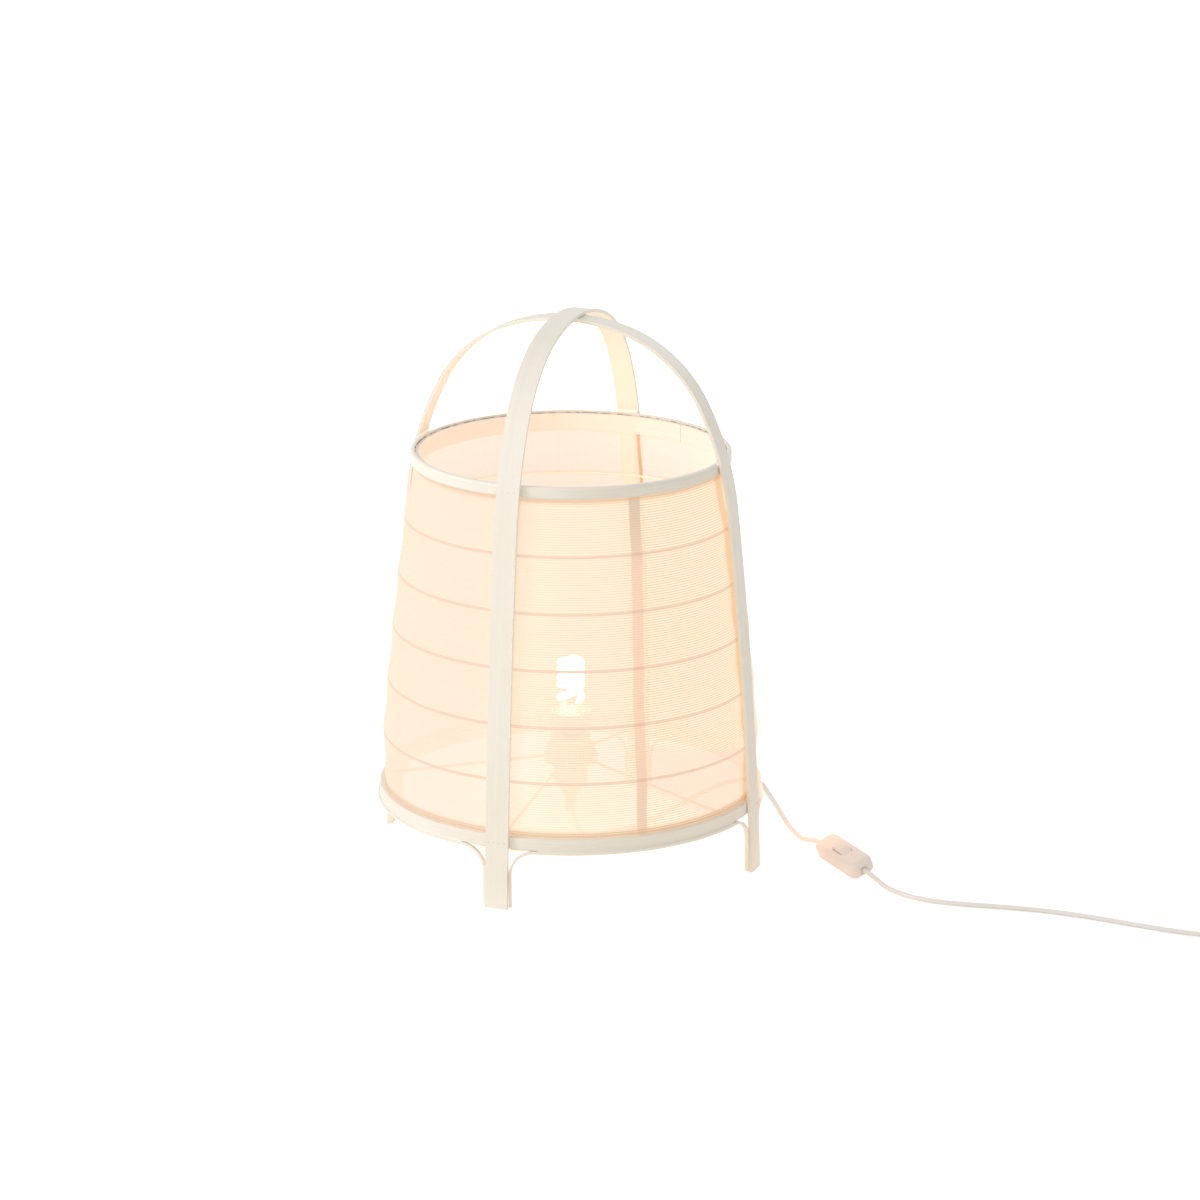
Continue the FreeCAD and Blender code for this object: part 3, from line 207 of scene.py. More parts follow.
def bamboo(name, lane, pale=colour(0.875, 0.845, 0.765), fibre=colour(0.80, 0.75, 0.655), painted_glow=0.0):
    """Pale bleached bamboo, its fibres along the strip; lane is the direction across, painted_glow a glow painted on
    it for the shade's light coming through it.
    """
    paint = Paint(name)
    x, y, z = paint.place()
    if lane == "round":
        across = (x * x + y * y) ** 0.5
        along = (x, y, z)
    else:
        across = {"x": x, "y": y, "z": z}[lane]
        along = [axis for axis in (x, y, z) if axis is not across] + [across]
    fine = paint.noise(paint.point(across * 2600, along[0] * 9, along[1] * 9), 1.0, 3.0)
    broad = paint.noise(paint.point(across * 520, along[0] * 3, along[1] * 3), 1.0, 2.0)
    cloud = paint.noise(paint.point(x, y, z), 14.0, 2.0)
    fleck = paint.ramp(paint.noise(paint.point(across * 3100, along[0] * 60, along[1] * 60), 1.0, 1.0), 0.66, 0.76)
    streak = paint.ramp(fine * 0.5 + broad * 0.5, 0.34, 0.70)
    tone = paint.mix(streak * 0.42, pale, fibre)
    tone = paint.mix(paint.ramp(cloud, 0.40, 0.75) * 0.25, tone, colour(0.83, 0.76, 0.64))
    tone = paint.mix(fleck * 0.16, tone, colour(0.52, 0.42, 0.31))
    paint.set(Base_Color=tone, Roughness=0.42 + 0.16 * fine, Coat_Weight=0.08 + 0.10 * cloud,
              Normal=paint.bump(fine * 0.7 + broad * 0.3 - fleck * 0.4, 0.25, 0.0003))
    # The emission is a painted glow, standing for the shade's light shining through a thin strip.
    paint.set(Coat_Roughness=0.35, Emission_Color=colour(1.0, 0.72, 0.52), Emission_Strength=painted_glow)
    return paint.material


def moulded(name, base, rough=0.38, grain=900.0, depth=0.00008, parting=None):
    """Moulded plastic with a fine spark-eroded grain; parting is the height of a mould line."""
    paint = Paint(name)
    x, y, z = paint.place()
    where = paint.point(x, y, z)
    pebble = paint.noise(where, grain, 2.0)
    patch = paint.noise(where, 45.0, 3.0)
    tone = paint.mix(patch * 0.35, colour(*base), colour(*(c * 0.90 for c in base)))
    height = pebble
    if parting is not None:
        # The colour is darkened along the mould line: painted shade in its groove.
        line = 1 - paint.ramp(abs(z - parting), 0.00008, 0.00035)
        tone = paint.mix(line * 0.30, tone, colour(*(c * 0.60 for c in base)))
        height = height - line * 1.2
    paint.set(Base_Color=tone, Roughness=rough - 0.08 + 0.16 * patch, Normal=paint.bump(height, 0.4, depth))
    return paint.material


def metal(name, base, rough=0.3, lines=1800.0):
    """Bright metal with turning marks round its axis."""
    paint = Paint(name)
    x, y, z = paint.place()
    turned = paint.noise(paint.point(x * 60, y * 60, z * lines), 1.0, 2.0)
    stain = paint.noise(paint.point(x, y, z), 160.0, 2.0)
    tone = paint.mix(stain * 0.45, colour(*base), colour(*(c * 0.72 for c in base)))
    paint.set(Base_Color=tone, Metallic=1.0, Roughness=rough - 0.07 + 0.16 * turned,
              Normal=paint.bump(turned, 0.2, 0.00005))
    return paint.material


def lacquer(name, base):
    """White lacquered steel with a slight orange peel."""
    paint = Paint(name)
    x, y, z = paint.place()
    peel = paint.noise(paint.point(x, y, z), 700.0, 1.0)
    patch = paint.noise(paint.point(x, y, z), 60.0, 2.0)
    tone = paint.mix(patch * 0.4, colour(*base), colour(*(c * 0.9 for c in base)))
    paint.set(Base_Color=tone, Roughness=0.30 + 0.12 * patch, Normal=paint.bump(peel, 0.15, 0.0001))
    paint.set(Coat_Weight=0.25, Coat_Roughness=0.2)
    return paint.material


def lit_glass(name):
    """White coated tube of the bulb, lit: a little less bright towards its ends."""
    paint = Paint(name)
    x, y, z = paint.place()
    powder = paint.noise(paint.point(x, y, z), 220.0, 2.0)
    ends = paint.ramp(z, 0.1290, 0.1350)
    glow = paint.mix(ends, colour(0.10, 0.07, 0.045), colour(1.0, 0.85, 0.68))
    paint.set(Base_Color=paint.mix(powder * 0.4, colour(0.93, 0.92, 0.88), colour(0.86, 0.83, 0.77)),
              Roughness=0.22 + 0.1 * powder, Emission_Color=glow)
    paint.set(Emission_Strength=7.0)
    return paint.material


# Places taken from the CAD pieces

def outer_radius(node):
    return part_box(node)[1].x


def heights(node):
    low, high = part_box(node)
    return low.z, high.z


SPLINTS = [(outer_radius(f"shade_splint_{index}"), sum(heights(f"shade_splint_{index}")) / 2)
           for index in range(1, 6)]
TOP_BAND_LOW = heights("top_band")[0]
TOP_LINER_HIGH = heights("top_liner")[1]
BOTTOM_BAND_LOW, BOTTOM_BAND_HIGH = heights("bottom_band")
SEAM_WIDE = 8.6 * MM
RIB_PITCH = 2.03 * MM
WARP_PITCH = 2.0 * MM
LEG_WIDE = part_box("hoop_lower")[1].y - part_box("hoop_lower")[0].y
CLOTH_OFF_LINER = 0.4 * MM
TOP_CLOTH_RADIUS = outer_radius("top_liner") + CLOTH_OFF_LINER
HEM_RADIUS = outer_radius("bottom_liner") + CLOTH_OFF_LINER


def cloth_finish():
    """Thin ribbed cloth whose light from the bulb behind it is painted as its glow; the UV map holds the way round in
    metres and the height.
    """
    paint = Paint("shade cloth")
    way, up, _ = paint.place("UV")
    x, y, z = paint.place()

    def line(value, middle, half, soft):
        """1 along a thin line, 0 away from it."""
        return 1 - paint.ramp(abs(value - middle), half, half + soft)

    sway = paint.noise(paint.point(way * 18, up * 18, 0.0), 1.0, 2.0)
    level = up + sway * 0.0012
    ribs = paint.node("Math", {"operation": "SINE"}, (level * (2 * math.pi / RIB_PITCH),))
    warps = paint.node("Math", {"operation": "SINE"}, ((way + sway * 0.002) * (2 * math.pi / WARP_PITCH),))
    slub = paint.ramp(paint.noise(paint.point(way * 900, up * 15, 0.0), 1.0, 2.0), 0.71, 0.79)
    weft = paint.noise(paint.point(way * 30, up * 900, 0.0), 1.0, 2.0)
    cloud = paint.noise(paint.point(x, y, z), 9.0, 2.0)
    ribbed = ((0.45 * paint.ramp(way, -0.105, -0.06) + 0.55 * paint.ramp(way, -0.02, 0.012))
              * (1 - paint.ramp(way, 0.15, 0.24)))
    smooth_top = 0.137 - way * 0.26
    smooth_low = 0.1055 - way * 0.63
    smooth = (paint.ramp(way, 0.006, 0.009) * (1 - paint.ramp(up - smooth_top, -0.004, 0.006))
              * paint.ramp(up - smooth_low, 0.0, 0.0012) * (1 - paint.ramp(way, 0.15, 0.24)))
    plain_left = (1 - paint.ramp(way, -0.16, -0.07)) * paint.ramp(way, -0.44, -0.36)
    seam_half = 0.0034 + (up - 0.0625) * 0.0058
    seam = 1 - paint.ramp(abs(way - SEAM_WIDE / 2) - seam_half, 0.0, 0.0012)
    # rear marks the back of the cloth, seen from inside, which gets a dimmer, pinker painted glow.
    rear = paint.ramp(y * 0.93 - x * 0.37, -0.005, 0.115)
    upright = rear * paint.ramp(up, 0.2935, 0.2965) * (1 - 0.75 * paint.ramp(x, 0.005, 0.03))
    dark = (ribs * (0.05 + 0.95 * ribbed * (1 - 0.8 * smooth)) + warps * (0.03 + 0.30 * upright) + slub * 0.45
            + (weft - 0.5) * 0.08 + (cloud - 0.5) * 0.12 + 0.14)
    # Painted shadow of the thin hoops behind the cloth: a dark line at each, and a fainter line just above it.
    splint_shadow = sum((line(up, high, 0.0009, 0.0006) for _, high in SPLINTS), 0.0)
    splint_shadow_edge = sum((line(up, high + 0.0011, 0.0002, 0.0005) for _, high in SPLINTS), 0.0)
    # hem paints the glow deep orange just above the bottom band: painted shadow of the liner behind the cloth at the
    # hem.
    hem = 1 - paint.ramp(level, 0.0655, 0.0705)
    hem_lines = sum((line(level, high, 0.0002, 0.0004) for high in (0.0628, 0.0640, 0.0658)), 0.0)
    # Painted shadow of the top liner behind the cloth, just under the top band.
    top_liner_shadow = paint.ramp(level, 0.3368, 0.3395)
    # Painted shade beside each leg: deep orange where the cloth lies in a front leg's shade, a lighter cream painted
    # strip where the back leg shows through from inside, and a thin dark orange painted shade line along the back
    # leg's right edge.
    beside = paint.node("Math", {"operation": "MINIMUM"}, (abs(x), abs(y))) - LEG_WIDE / 2
    leg_shade = 1 - paint.ramp(beside, -0.0060, 0.0004)
    leg_edge_shadow = line(beside, 0.0012, 0.0010, 0.0009) * rear * paint.ramp(x, 0.0, 0.002)
    # glow is the painted light of the bulb coming through the cloth; the masks mixed into it paint its shades.
    glow = paint.mix(plain_left, colour(0.750, 0.622, 0.470), colour(0.690, 0.510, 0.400))
    glow = paint.mix(rear * 0.85, glow, colour(0.545, 0.462, 0.408))
    glow = paint.mix(ribbed * (1 - smooth), glow, colour(0.755, 0.662, 0.478))
    glow = paint.mix(smooth * 0.8, glow, colour(0.73, 0.520, 0.380))
    glow = paint.mix(dark, glow, colour(0.69, 0.440, 0.268))
    glow = paint.mix(leg_shade * (1 - rear) * 0.65, glow, colour(0.56, 0.28, 0.09))
    glow = paint.mix(leg_shade * rear * 0.75, glow, colour(0.74, 0.62, 0.46))
    glow = paint.mix(leg_edge_shadow * 0.95, glow, colour(0.43, 0.17, 0.0))
    seam_tone = paint.mix(paint.ramp(up, 0.085, 0.150), colour(0.56, 0.365, 0.255), colour(0.66, 0.415, 0.275))
    seam_tone = paint.mix(paint.ramp(up, 0.270, 0.335), seam_tone, colour(0.43, 0.32, 0.225))
    glow = paint.mix(seam * 0.85, glow, seam_tone)
    glow = paint.mix(hem * 0.45, glow, colour(0.60, 0.33, 0.15))
    glow = paint.mix(top_liner_shadow * 0.55, glow, colour(0.50, 0.25, 0.11))
    glow = paint.mix((splint_shadow * 0.40 + splint_shadow_edge * 0.22) * (1 - rear * 0.75), glow, colour(0.44, 0.245, 0.19))
    glow = paint.mix(hem_lines * 0.42, glow, colour(0.24, 0.13, 0.07))
    base = paint.mix(dark, colour(0.36, 0.325, 0.29), colour(0.33, 0.265, 0.225))
    base = paint.mix(splint_shadow * 0.3, base, colour(0.26, 0.20, 0.17))
    paint.set(Base_Color=base, Emission_Color=glow, Alpha=0.865 + 0.09 * seam + 0.015 * ribs + slub * 0.04,
              Roughness=0.86 - 0.08 * weft, Normal=paint.bump(weft + slub * 0.6, 0.12, 0.0002))
    paint.set(Emission_Strength=1.0, Specular_IOR_Level=0.2)
    return paint.material


BAMBOO_ACROSS_Y = bamboo("bamboo strip along x", "y")
BAMBOO_ACROSS_X = bamboo("bamboo strip along y", "x")
BAMBOO_RING = bamboo("bamboo ring", "z")
BAMBOO_LINER = bamboo("bamboo liner", "z", colour(0.865, 0.825, 0.775), colour(0.81, 0.745, 0.67))
BAMBOO_BRACE = bamboo("bamboo brace", "round")
# Thin split bamboo for the splints and the leg glue, with a painted glow for the shade's light coming through it.
BAMBOO_THIN = bamboo("split bamboo", "z", colour(0.90, 0.80, 0.70), colour(0.80, 0.68, 0.57), 0.26)
CLOTH = cloth_finish()
# The holder's white plastic is given a greyer colour than white: painted shade for its place inside the shade.
WHITE_PLASTIC = moulded("white plastic", (0.70, 0.66, 0.60))
SWITCH_PLASTIC = moulded("switch plastic", (0.87, 0.80, 0.75), 0.42, 1100.0, 0.0001)
PLUG_PLASTIC = moulded("plug plastic", (0.80, 0.77, 0.73), 0.40, 1000.0, 0.0001, 6.85 * MM)
SHEATH = moulded("cord sheath", (0.83, 0.795, 0.76), 0.44, 1400.0, 0.00006)
TIE = moulded("cord tie", (0.05, 0.05, 0.05), 0.5)
INSULATOR = moulded("black insulator", (0.03, 0.03, 0.03), 0.2)
# The white lacquer of the holder's plate and arms is given a grey colour: painted shade for its place inside the
# shade.
STEEL = lacquer("white lacquer", (0.60, 0.56, 0.50))
NAIL = metal("nail head", (0.80, 0.72, 0.62), 0.6)
BRASS = metal("brass", (0.76, 0.58, 0.27), 0.28)
ZINC = metal("zinc", (0.70, 0.70, 0.69), 0.30)
LIT = lit_glass("lit tube")

FINISHES = {
    BAMBOO_ACROSS_Y: ["hoop_lower"],
    BAMBOO_ACROSS_X: ["hoop_upper"],
    BAMBOO_RING: ["top_band", "bottom_band"],
    BAMBOO_LINER: ["top_liner", "bottom_liner"],
    BAMBOO_BRACE: [f"foot_brace_{index}" for index in range(1, 5)],
    BAMBOO_THIN: [f"shade_splint_{index}" for index in range(1, 6)],
    NAIL: ["top_band_nails", "bottom_band_nails"],
    STEEL: ["holder_plate", "holder_arms"],
    WHITE_PLASTIC: ["holder_shell", "holder_ring", "holder_cap", "contact_block", "bulb_housing", "cord_grip"],
    BRASS: ["centre_contact", "terminal_screws", "bulb_tip", "switch_contacts"],
    ZINC: ["screw_sleeve", "bulb_cap", "switch_pin", "switch_screws", "plug_pins"],
    INSULATOR: ["bulb_insulator"],
    LIT: ["bulb_spiral"],
    SWITCH_PLASTIC: ["switch_base", "switch_cover", "switch_rocker"],
    PLUG_PLASTIC: ["plug_body"],
    SHEATH: ["plug_relief"],
    TIE: ["cord_tie"],
}
for finish, names in FINISHES.items():
    for name in names:
        for place in nodes[name].material_slots:
            place.material = finish


def keep(piece, body="lamp", stands_for=()):
    """Puts a finished piece on its body and hides the CAD parts that it stands for."""
    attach(piece, body)
    if stands_for:
        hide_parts(*stands_for)
    return piece


def mesh_piece(name, points, faces, material, smooth=True):
    mesh = bpy.data.meshes.new(name)
    mesh.from_pydata([tuple(point) for point in points], [], faces)
    mesh.materials.append(material)
    for face in mesh.polygons:
        face.use_smooth = smooth
    mesh.update()
    piece = bpy.data.objects.new(name, mesh)
    scene.collection.objects.link(piece)
    return piece


# Cord: the same route points as the solid's, as control points of one smooth spline for each stretch

CORD_WIDE = 4 * MM
LAMP_SIDE = [(0, 0, 57), (0, 0, 2), (31, 44, 2), (48, 94, 2), (57, 146, 2), (67, 190, 2), (80, 213, 2),
             (100, 212, 2), (114, 188, 2), (134, 155, 2), (152, 123, 2), (168, 98, 2), (184, 78, 2),
             (201.207, 66.292, 7.827), (212.793, 55.258, 7.827)]
FAR_SIDE = [(259.43, 10.846, 7.827), (270.293, 0.502, 7.827), (285, -9, 2), (306, -21, 2), (329, -26, 2),
            (354, -24, 2), (386, -18, 2), (424, -13, 2), (466, -14, 2), (508, -19, 2), (548, -21, 2),
            (578, -18, 2.8)]
PLUG_SIDE = [(623, -18, 7.4), (646.34, -14.52, 6.85), (672.2, -17.24, 6.85)]
COIL_MIDDLE = (604, 13)
COIL_TURNS = 7
COIL_STEPS = 16


def coil_points():
    """Flat coil: three and a half turns inwards, then the same outwards on top of them."""
    points = []
    for step in range(COIL_TURNS * COIL_STEPS + 1):
        turn = step / COIL_STEPS
        angle = 2 * math.pi * turn - math.pi / 2
        radius = 14.9 + 4.6 * abs(turn - COIL_TURNS / 2)
        climb = min(max((turn - 3.25) / 0.5, 0), 1)
        points.append((COIL_MIDDLE[0] + radius * math.cos(angle), COIL_MIDDLE[1] + radius * math.sin(angle),
                       2.8 + 4.6 * climb))
    return points


def cord_piece(name, route, stands_for):
    curve = bpy.data.curves.new(name, "CURVE")
    curve.dimensions = "3D"
    curve.bevel_depth = CORD_WIDE / 2
    curve.bevel_resolution = 5
    curve.resolution_u = 6
    curve.use_fill_caps = True
    spline = curve.splines.new("NURBS")
    spline.points.add(len(route) - 1)
    for point, place in zip(spline.points, route):
        point.co = (place[0] * MM, place[1] * MM, place[2] * MM, 1)
    spline.order_u = 3
    spline.use_endpoint_u = True
    curve.materials.append(SHEATH)
    piece = bpy.data.objects.new(name, curve)
    scene.collection.objects.link(piece)
    return keep(piece, "lamp", stands_for)


lamp_cord = cord_piece("lamp_cord", LAMP_SIDE, ["cord_to_switch"])
plug_cord = cord_piece("plug_cord", FAR_SIDE + coil_points() + PLUG_SIDE,
                       ["cord_to_coil", "cord_coil", "cord_to_plug"])


# Shade cloth: one sheet wrapped round the thin hoops, overlapped at its seam

def between(value, marks):
    """The value read off a line through the marks, pairs in rising order."""
    for (first, low), (last, high) in zip(marks, marks[1:]):
        if value <= last:
            return low + (high - low) * (value - first) / (last - first)
    return marks[-1][1]


def cloth_radius(high, knots):
    """Radius of the cloth's middle at a height: straight between the thin hoops, drawn in a little."""
    for (upper_radius, upper), (lower_radius, lower) in zip(knots, knots[1:]):
        if lower <= high <= upper:
            share = (upper - high) / (upper - lower)
            draw = 0.9 * MM if upper - lower > 20 * MM else 0.0
            return upper_radius + (lower_radius - upper_radius) * share - draw * math.sin(math.pi * share) ** 2
    return knots[0][0] if high > knots[0][1] else knots[-1][0]


def shade_cloth():
    clear = 0.45 * MM
    knots = [(TOP_CLOTH_RADIUS, TOP_LINER_HIGH - 0.5 * MM), (TOP_CLOTH_RADIUS, TOP_BAND_LOW - 0.5 * MM)]
    knots += [(radius + clear, high) for radius, high in SPLINTS]
    knots += [(HEM_RADIUS, BOTTOM_BAND_HIGH + 0.5 * MM), (HEM_RADIUS, BOTTOM_BAND_LOW + 0.5 * MM)]
    low, high = knots[-1][1], knots[0][1]
    rows = int((high - low) / (RIB_PITCH / 4))
    columns = 176
    mean = sum(radius for radius, _ in knots) / len(knots)
    overlap = SEAM_WIDE / mean
    seam_marks = [(0.0, -46.8), (0.0625, -46.8), (0.166, -47.3), (0.34, -45.4), (1.0, -45.4)]
    points, ways = [], []
    for row in range(rows + 1):
        tall = low + (high - low) * row / rows
        open_cloth = BOTTOM_BAND_HIGH + 1 * MM < tall < TOP_BAND_LOW - 1 * MM
        rib = 0.10 * MM * math.cos(2 * math.pi * tall / RIB_PITCH) if open_cloth else 0.0
        seam_angle = math.radians(between(tall, seam_marks))
        for column in range(columns + 1):
            share = column / columns
            turn = share * (2 * math.pi + overlap)
            lap = 0.16 * MM if turn > math.pi else -0.16 * MM
            blend = min(1.0, abs(turn - math.pi) / 0.6)
            radius = cloth_radius(tall, knots) + rib + lap * blend
            angle = seam_angle - overlap / 2 + turn
            points.append((radius * math.cos(angle), radius * math.sin(angle), tall))
            way = turn * mean
            ways.append((way if turn < math.pi else way - 2 * math.pi * mean, tall))
    wide = columns + 1
    faces = [(row * wide + column, row * wide + column + 1, (row + 1) * wide + column + 1, (row + 1) * wide + column)
             for row in range(rows) for column in range(columns)]
    piece = mesh_piece("shade_cloth", points, faces, CLOTH)
    layer = piece.data.uv_layers.new(name="way round and height")
    for face in piece.data.polygons:
        corners = list(zip(face.loop_indices, face.vertices))
        start = ways[corners[0][1]][0]
        for loop, vertex in corners:
            way, tall = ways[vertex]
            if way - start > math.pi * mean:
                way -= 2 * math.pi * mean
            elif start - way > math.pi * mean:
                way += 2 * math.pi * mean
            layer.data[loop].uv = (way, tall)
    return piece, mean * (2 * math.pi + overlap), high - low


cloth, cloth_wide, cloth_long = shade_cloth()
keep(cloth, "lamp", ["shade_fabric"])


# Threads and small repeated details

def ring_of_bits(name, material, bit, **sizes):
    """Small bits set round a ring. sizes: Count, Radius, Height, Start, Span, Long, Wide, Tall, Jitter, Vary, Seed."""
    pattern = Pattern(name, **sizes)
    number = pattern.node("InputIndex")
    seed = pattern.size("Seed")
    stray = pattern.vary(-0.5, 0.5, seed) * pattern.size("Jitter")
    angle = pattern.size("Start") + pattern.size("Span") * (number + stray) / pattern.size("Count")
    turn_x = pattern.node("ShaderNodeMath", {"operation": "COSINE"}, (angle,))
    turn_y = pattern.node("ShaderNodeMath", {"operation": "SINE"}, (angle,))
    radius = pattern.size("Radius")
    place = pattern.point(radius * turn_x, radius * turn_y, pattern.size("Height"))
    points = pattern.node("Points", None, {"Count": pattern.size("Count"), "Position": place})
    unlike = pattern.size("Vary")
    long = pattern.size("Long") * (1 + unlike * pattern.vary(-1.0, 1.0, seed + 1))
    tall = pattern.size("Tall") * (1 + unlike * pattern.vary(-1.0, 1.0, seed + 2))
    if bit == "bead":
        shape = pattern.node("MeshUVSphere", None, {"Segments": 8, "Rings": 5, "Radius": 0.5})
    else:
        shape = pattern.node("MeshCube", None, {"Size": (1.0, 1.0, 1.0)})
    turned = pattern.node("FunctionNodeEulerToRotation", None, (pattern.point(0.0, 0.0, angle + math.pi / 2),))
    bits = pattern.node("InstanceOnPoints", None, {"Points": points, "Instance": shape, "Rotation": turned,
                                                   "Scale": pattern.point(long, pattern.size("Wide"), tall)})
    return pattern.plain_mesh(name, bits, material)


THREAD = moulded("sewing thread", (0.78, 0.66, 0.52), 0.7, 2200.0, 0.00008)
hem_stitches = ring_of_bits("hem_stitches", THREAD, "bead", Count=330, Radius=HEM_RADIUS + 0.25 * MM,
                            Height=BOTTOM_BAND_HIGH + 1.9 * MM, Start=0.0, Span=2 * math.pi, Long=2.2 * MM,
                            Wide=0.42 * MM, Tall=0.42 * MM, Jitter=0.25, Vary=0.22, Seed=4)
keep(hem_stitches, "lamp")
# Dark beads along the cloth's top edge in the slot between band and liner: painted shadow of that slot, in dashes.
SLOT_SHADOW = moulded("slot shadow dark", (0.20, 0.135, 0.085), 0.9, 2200.0, 0.00008)
top_slot_shadow = ring_of_bits("top_edge_slot_shadow", SLOT_SHADOW, "bead", Count=46, Radius=TOP_CLOTH_RADIUS,
                        Height=TOP_LINER_HIGH - 0.05 * MM, Start=math.radians(12), Span=math.radians(195),
                        Long=6.4 * MM, Wide=0.9 * MM, Tall=0.6 * MM, Jitter=0.9, Vary=0.55, Seed=9)
keep(top_slot_shadow, "lamp")
holder_low, holder_high = heights("holder_ring")
holder_grips = ring_of_bits("holder_ring_grips", WHITE_PLASTIC, "bar", Count=40, Radius=outer_radius("holder_ring"),
                            Height=(holder_low + holder_high) / 2, Start=0.0, Span=2 * math.pi, Long=1.1 * MM,
                            Wide=0.7 * MM, Tall=(holder_high - holder_low) * 0.72, Jitter=0.0, Vary=0.0, Seed=1)
keep(holder_grips, "lamp")


def hem_glow_finish():
    """Raw edge of the cloth under the bottom band, given a deep orange painted glow for the light that comes through.
    """
    paint = Paint("raw hem")
    x, y, z = paint.place()
    thread = paint.noise(paint.point(x * 900, y * 900, z * 900), 1.0, 2.0)
    paint.set(Base_Color=paint.mix(thread, colour(0.62, 0.40, 0.22), colour(0.74, 0.52, 0.32)),
              Emission_Color=paint.mix(thread, colour(0.42, 0.16, 0.03), colour(0.52, 0.24, 0.07)), Roughness=0.9)
    paint.set(Emission_Strength=0.9)
    return paint.material


def raw_hem():
    """Slips of the cloth's raw lower edge that hang below the band beside each leg, carrying the painted glow of the
    light escaping there.
    """
    reach, drop, steps = 24 * MM, 1.3 * MM, 16
    outer = outer_radius("bottom_band") - 1.7 * MM
    thick = 0.5 * MM
    points, faces = [], []
    for leg in range(4):
        for side in (-1, 1):
            first = len(points)
            for step in range(steps + 1):
                share = step / steps
                angle = leg * math.pi / 2 + side * (LEG_WIDE / 2 + 0.4 * MM + reach * share) / outer
                low = BOTTOM_BAND_LOW - drop * (1 - share) ** 0.8
                for radius in (outer, outer - thick):
                    for tall in (BOTTOM_BAND_LOW + 0.3 * MM, low):
                        points.append((radius * math.cos(angle), radius * math.sin(angle), tall))
            ring = (0, 1, 3, 2)
            for step in range(steps):
                base = first + step * 4
                for a, b in zip(ring, ring[1:] + ring[:1]):
                    faces.append((base + a, base + b, base + 4 + b, base + 4 + a))
            faces.append(tuple(first + a for a in ring))
            faces.append(tuple(first + steps * 4 + a for a in reversed(ring)))
    piece = mesh_piece("raw_hem", points, faces, hem_glow_finish(), False)
    form = bmesh.new()
    form.from_mesh(piece.data)
    bmesh.ops.recalc_face_normals(form, faces=form.faces)
    form.to_mesh(piece.data)
    form.free()
    return piece


keep(raw_hem(), "lamp")


def swept_section(name, material, section, spans):
    """A closed section of radius and height pairs, swept round the axis over each span of angles."""
    points, faces = [], []
    count = len(section)
    for start, end in spans:
        first = len(points)
        steps = max(2, round(math.degrees(end - start) / 2))
        for step in range(steps + 1):
            angle = start + (end - start) * step / steps
            points += [(radius * math.cos(angle), radius * math.sin(angle), tall) for radius, tall in section]
        for step in range(steps):
            base = first + step * count
            for corner in range(count):
                after = (corner + 1) % count
                faces.append((base + corner, base + count + corner, base + count + after, base + after))
        faces.append(tuple(first + corner for corner in range(count)))
        faces.append(tuple(first + steps * count + corner for corner in reversed(range(count))))
    return mesh_piece(name, points, faces, material, False)


# Glue in the corners between each leg and the top band, and along the braces under the bottom band
band_high = heights("top_band")[1]
band_outer = outer_radius("top_band")
foot_outer = outer_radius("bottom_band")
half_leg = (LEG_WIDE / 2 - 0.7 * MM) / band_outer
beside_leg = (LEG_WIDE / 2 + 24 * MM) / foot_outer
quarters = [leg * math.pi / 2 for leg in range(4)]


def section_at(radius, tall, corners):
    """Corners in mm, outwards and upwards of an edge, as radius and height pairs."""
    return [(radius + out * MM, tall + up * MM) for out, up in corners]


# The leg glue takes the split bamboo finish, with its painted glow.
leg_glue = swept_section("leg_glue", BAMBOO_THIN,
                         section_at(band_outer, band_high, [(-2.0, -0.15), (-2.0, -2.2), (0.2, -2.2), (0.2, 2.5)]),
                         [(angle - half_leg, angle + half_leg) for angle in quarters])
keep(leg_glue, "lamp")
brace_glue = swept_section("brace_glue", BAMBOO_RING,
                           section_at(foot_outer, BOTTOM_BAND_LOW,
                                      [(-0.9, 0.6), (-0.9, -0.5), (0.9, -0.5), (0.15, 0.8)]),
                           [(angle + beside_leg, angle + math.pi / 2 - beside_leg) for angle in quarters])
keep(brace_glue, "lamp")


# Floor, light and camera

def floor_finish():
    """White floor: white to the camera apart from the object's shadow, plain white to the light, with a painted warm
    glow near the lamp that lights the pieces above it.
    """
    paint = Paint("floor")
    paper = paint.node("BsdfDiffuse", None, {"Color": colour(0.45, 0.45, 0.45)})
    x, y, _ = paint.place()
    away = paint.ramp((x * x + y * y) ** 0.5, 0.5, 1.6)
    shine = paint.node("Emission", None, {"Color": colour(1, 1, 1), "Strength": 0.71 + 0.29 * away})
    plain = paint.node("BsdfDiffuse", None, {"Color": colour(0.86, 0.82, 0.77)})
    # Painted pool of warm lamplight on the floor near the lamp, seen only by the light that bounces off it.
    near = 1 - paint.ramp(((x - 0.10) ** 2 + (y - 0.03) ** 2) ** 0.5, 0.10, 0.34)
    lamplight = paint.node("Emission", None, {"Color": colour(1.0, 0.76, 0.56), "Strength": 0.26 * near})
    plain = paint.node("AddShader", None, (plain, lamplight))
    bright = paint.node("AddShader", None, (paper, shine))
    both = paint.node("MixShader", None, (paint.seen(), plain, bright))
    paint.tree.nodes.remove(paint.shader)
    paint.join(both, paint.tree.nodes["Material Output"].inputs["Surface"])
    return paint.material


floor = mesh_piece("floor", [(-6, -6, -0.0004), (6, -6, -0.0004), (6, 6, -0.0004), (-6, 6, -0.0004)],
                   [(0, 1, 2, 3)], floor_finish(), False)


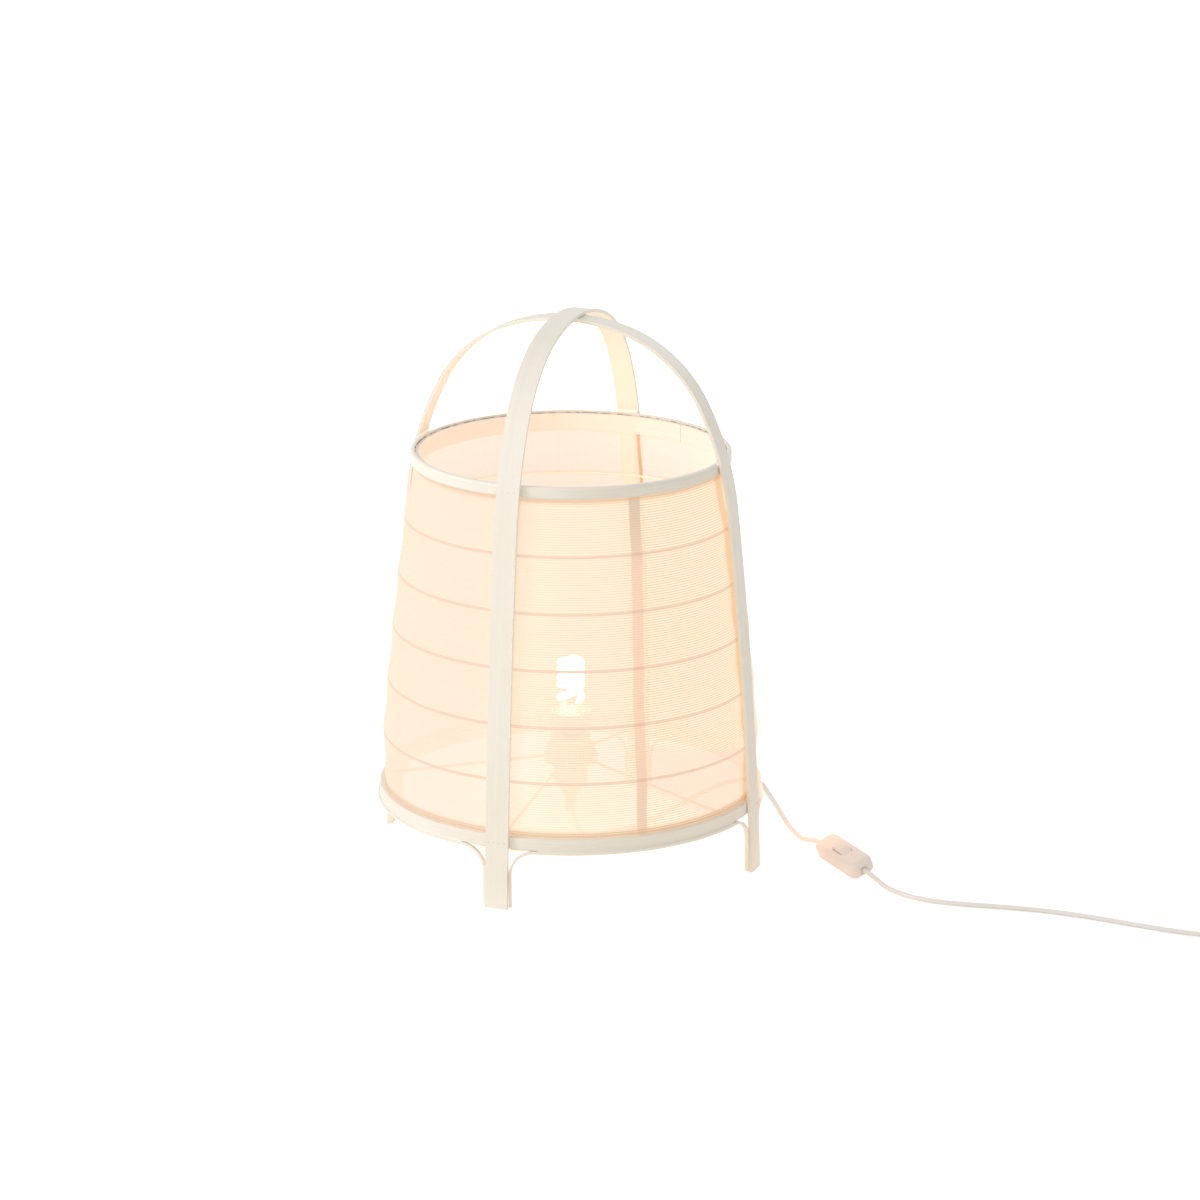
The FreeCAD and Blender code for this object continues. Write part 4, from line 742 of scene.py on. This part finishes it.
class Sky(Tree):
    """The world round the lamp: white where it shows, and a softer light on the pieces."""

    def __init__(self, name):
        scene.world = bpy.data.worlds.new(name)
        scene.world.use_nodes = True
        self.tree = scene.world.node_tree
        self.tree.nodes.remove(self.tree.nodes["Background"])
        light = self.node("Background", None, {"Color": colour(1.0, 0.99, 0.975), "Strength": 0.66})
        white = self.node("Background", None, {"Color": colour(1, 1, 1), "Strength": 1.0})
        both = self.node("MixShader", None, (self.seen(), light, white))
        self.join(both, self.tree.nodes["World Output"].inputs["Surface"])


Sky("studio")


def studio_lamp(name, place, target, wide, power, tint=(1, 1, 1), mirrored=True):
    """A round soft lamp that the camera doesn't see; mirrored says whether it shows in shiny pieces."""
    light = bpy.data.lights.new(name, "AREA")
    light.shape = "DISK"
    light.size = wide
    light.energy = power
    light.color = tint
    lamp = bpy.data.objects.new(name, light)
    lamp.location = place
    lamp.rotation_mode = "QUATERNION"
    lamp.rotation_quaternion = (Vector(target) - Vector(place)).to_track_quat("-Z", "Y")
    lamp.visible_camera = False
    lamp.visible_glossy = mirrored
    scene.collection.objects.link(lamp)


studio_lamp("key", (-2.6, -1.9, 1.5), (0, 0, 0.2), 1.8, 48)
studio_lamp("fill", (0.8, -3.0, 0.7), (0, 0, 0.15), 2.0, 10.5, (1.0, 0.92, 0.81))
studio_lamp("back", (0.4, 2.6, 1.8), (0, 0, 0.2), 1.8, 11)
studio_lamp("shade glow", (0, 0, 0.30), (0, 0, 1), 0.20, 0.09, (1.0, 0.60, 0.41), False)
studio_lamp("glow on the floor", (0, 0, 0.040), (0, 0, -1), 0.22, 0.08, (1.0, 0.62, 0.40), False)
studio_lamp("glow beside the shade", (0.190, 0.055, 0.085), (0.19, 0.10, 0), 0.03, 0.030, (1.0, 0.53, 0.32), False)
bulb_light = bpy.data.lights.new("bulb light", "POINT")
bulb_light.energy = 0.06
bulb_light.color = (1.0, 0.60, 0.40)
bulb_light.shadow_soft_size = 0.026
bulb_lamp = bpy.data.objects.new("bulb light", bulb_light)
bulb_lamp.location = (0, 0, 0.143)
bulb_lamp.visible_camera = False
bulb_lamp.visible_glossy = False
bulb_lamp.visible_transmission = False
scene.collection.objects.link(bulb_lamp)

CAMERA_TURN = math.radians(21.5)
CAMERA_RISE = math.radians(16.3)
CAMERA_AWAY = 3.45
PICTURE_WIDE = 1200
PIXELS_PER_MM = 1.184
LAMP_AXIS_AT = 570.8
AIM = Vector((0, 0, 0.2185))
back = Vector((math.sin(CAMERA_TURN) * math.cos(CAMERA_RISE), -math.cos(CAMERA_TURN) * math.cos(CAMERA_RISE),
               math.sin(CAMERA_RISE)))
camera_data = bpy.data.cameras.new("camera")
camera_data.sensor_width = 36
camera_data.lens = camera_data.sensor_width * PIXELS_PER_MM * CAMERA_AWAY / MM / PICTURE_WIDE
camera_data.shift_x = (PICTURE_WIDE / 2 - LAMP_AXIS_AT) / PICTURE_WIDE
camera_data.clip_end = 60
camera = bpy.data.objects.new("camera", camera_data)
camera.location = AIM + back * CAMERA_AWAY
camera.rotation_mode = "QUATERNION"
camera.rotation_quaternion = (-back).to_track_quat("-Z", "Y")
scene.collection.objects.link(camera)
scene.camera = camera

bpy.context.view_layer.update()
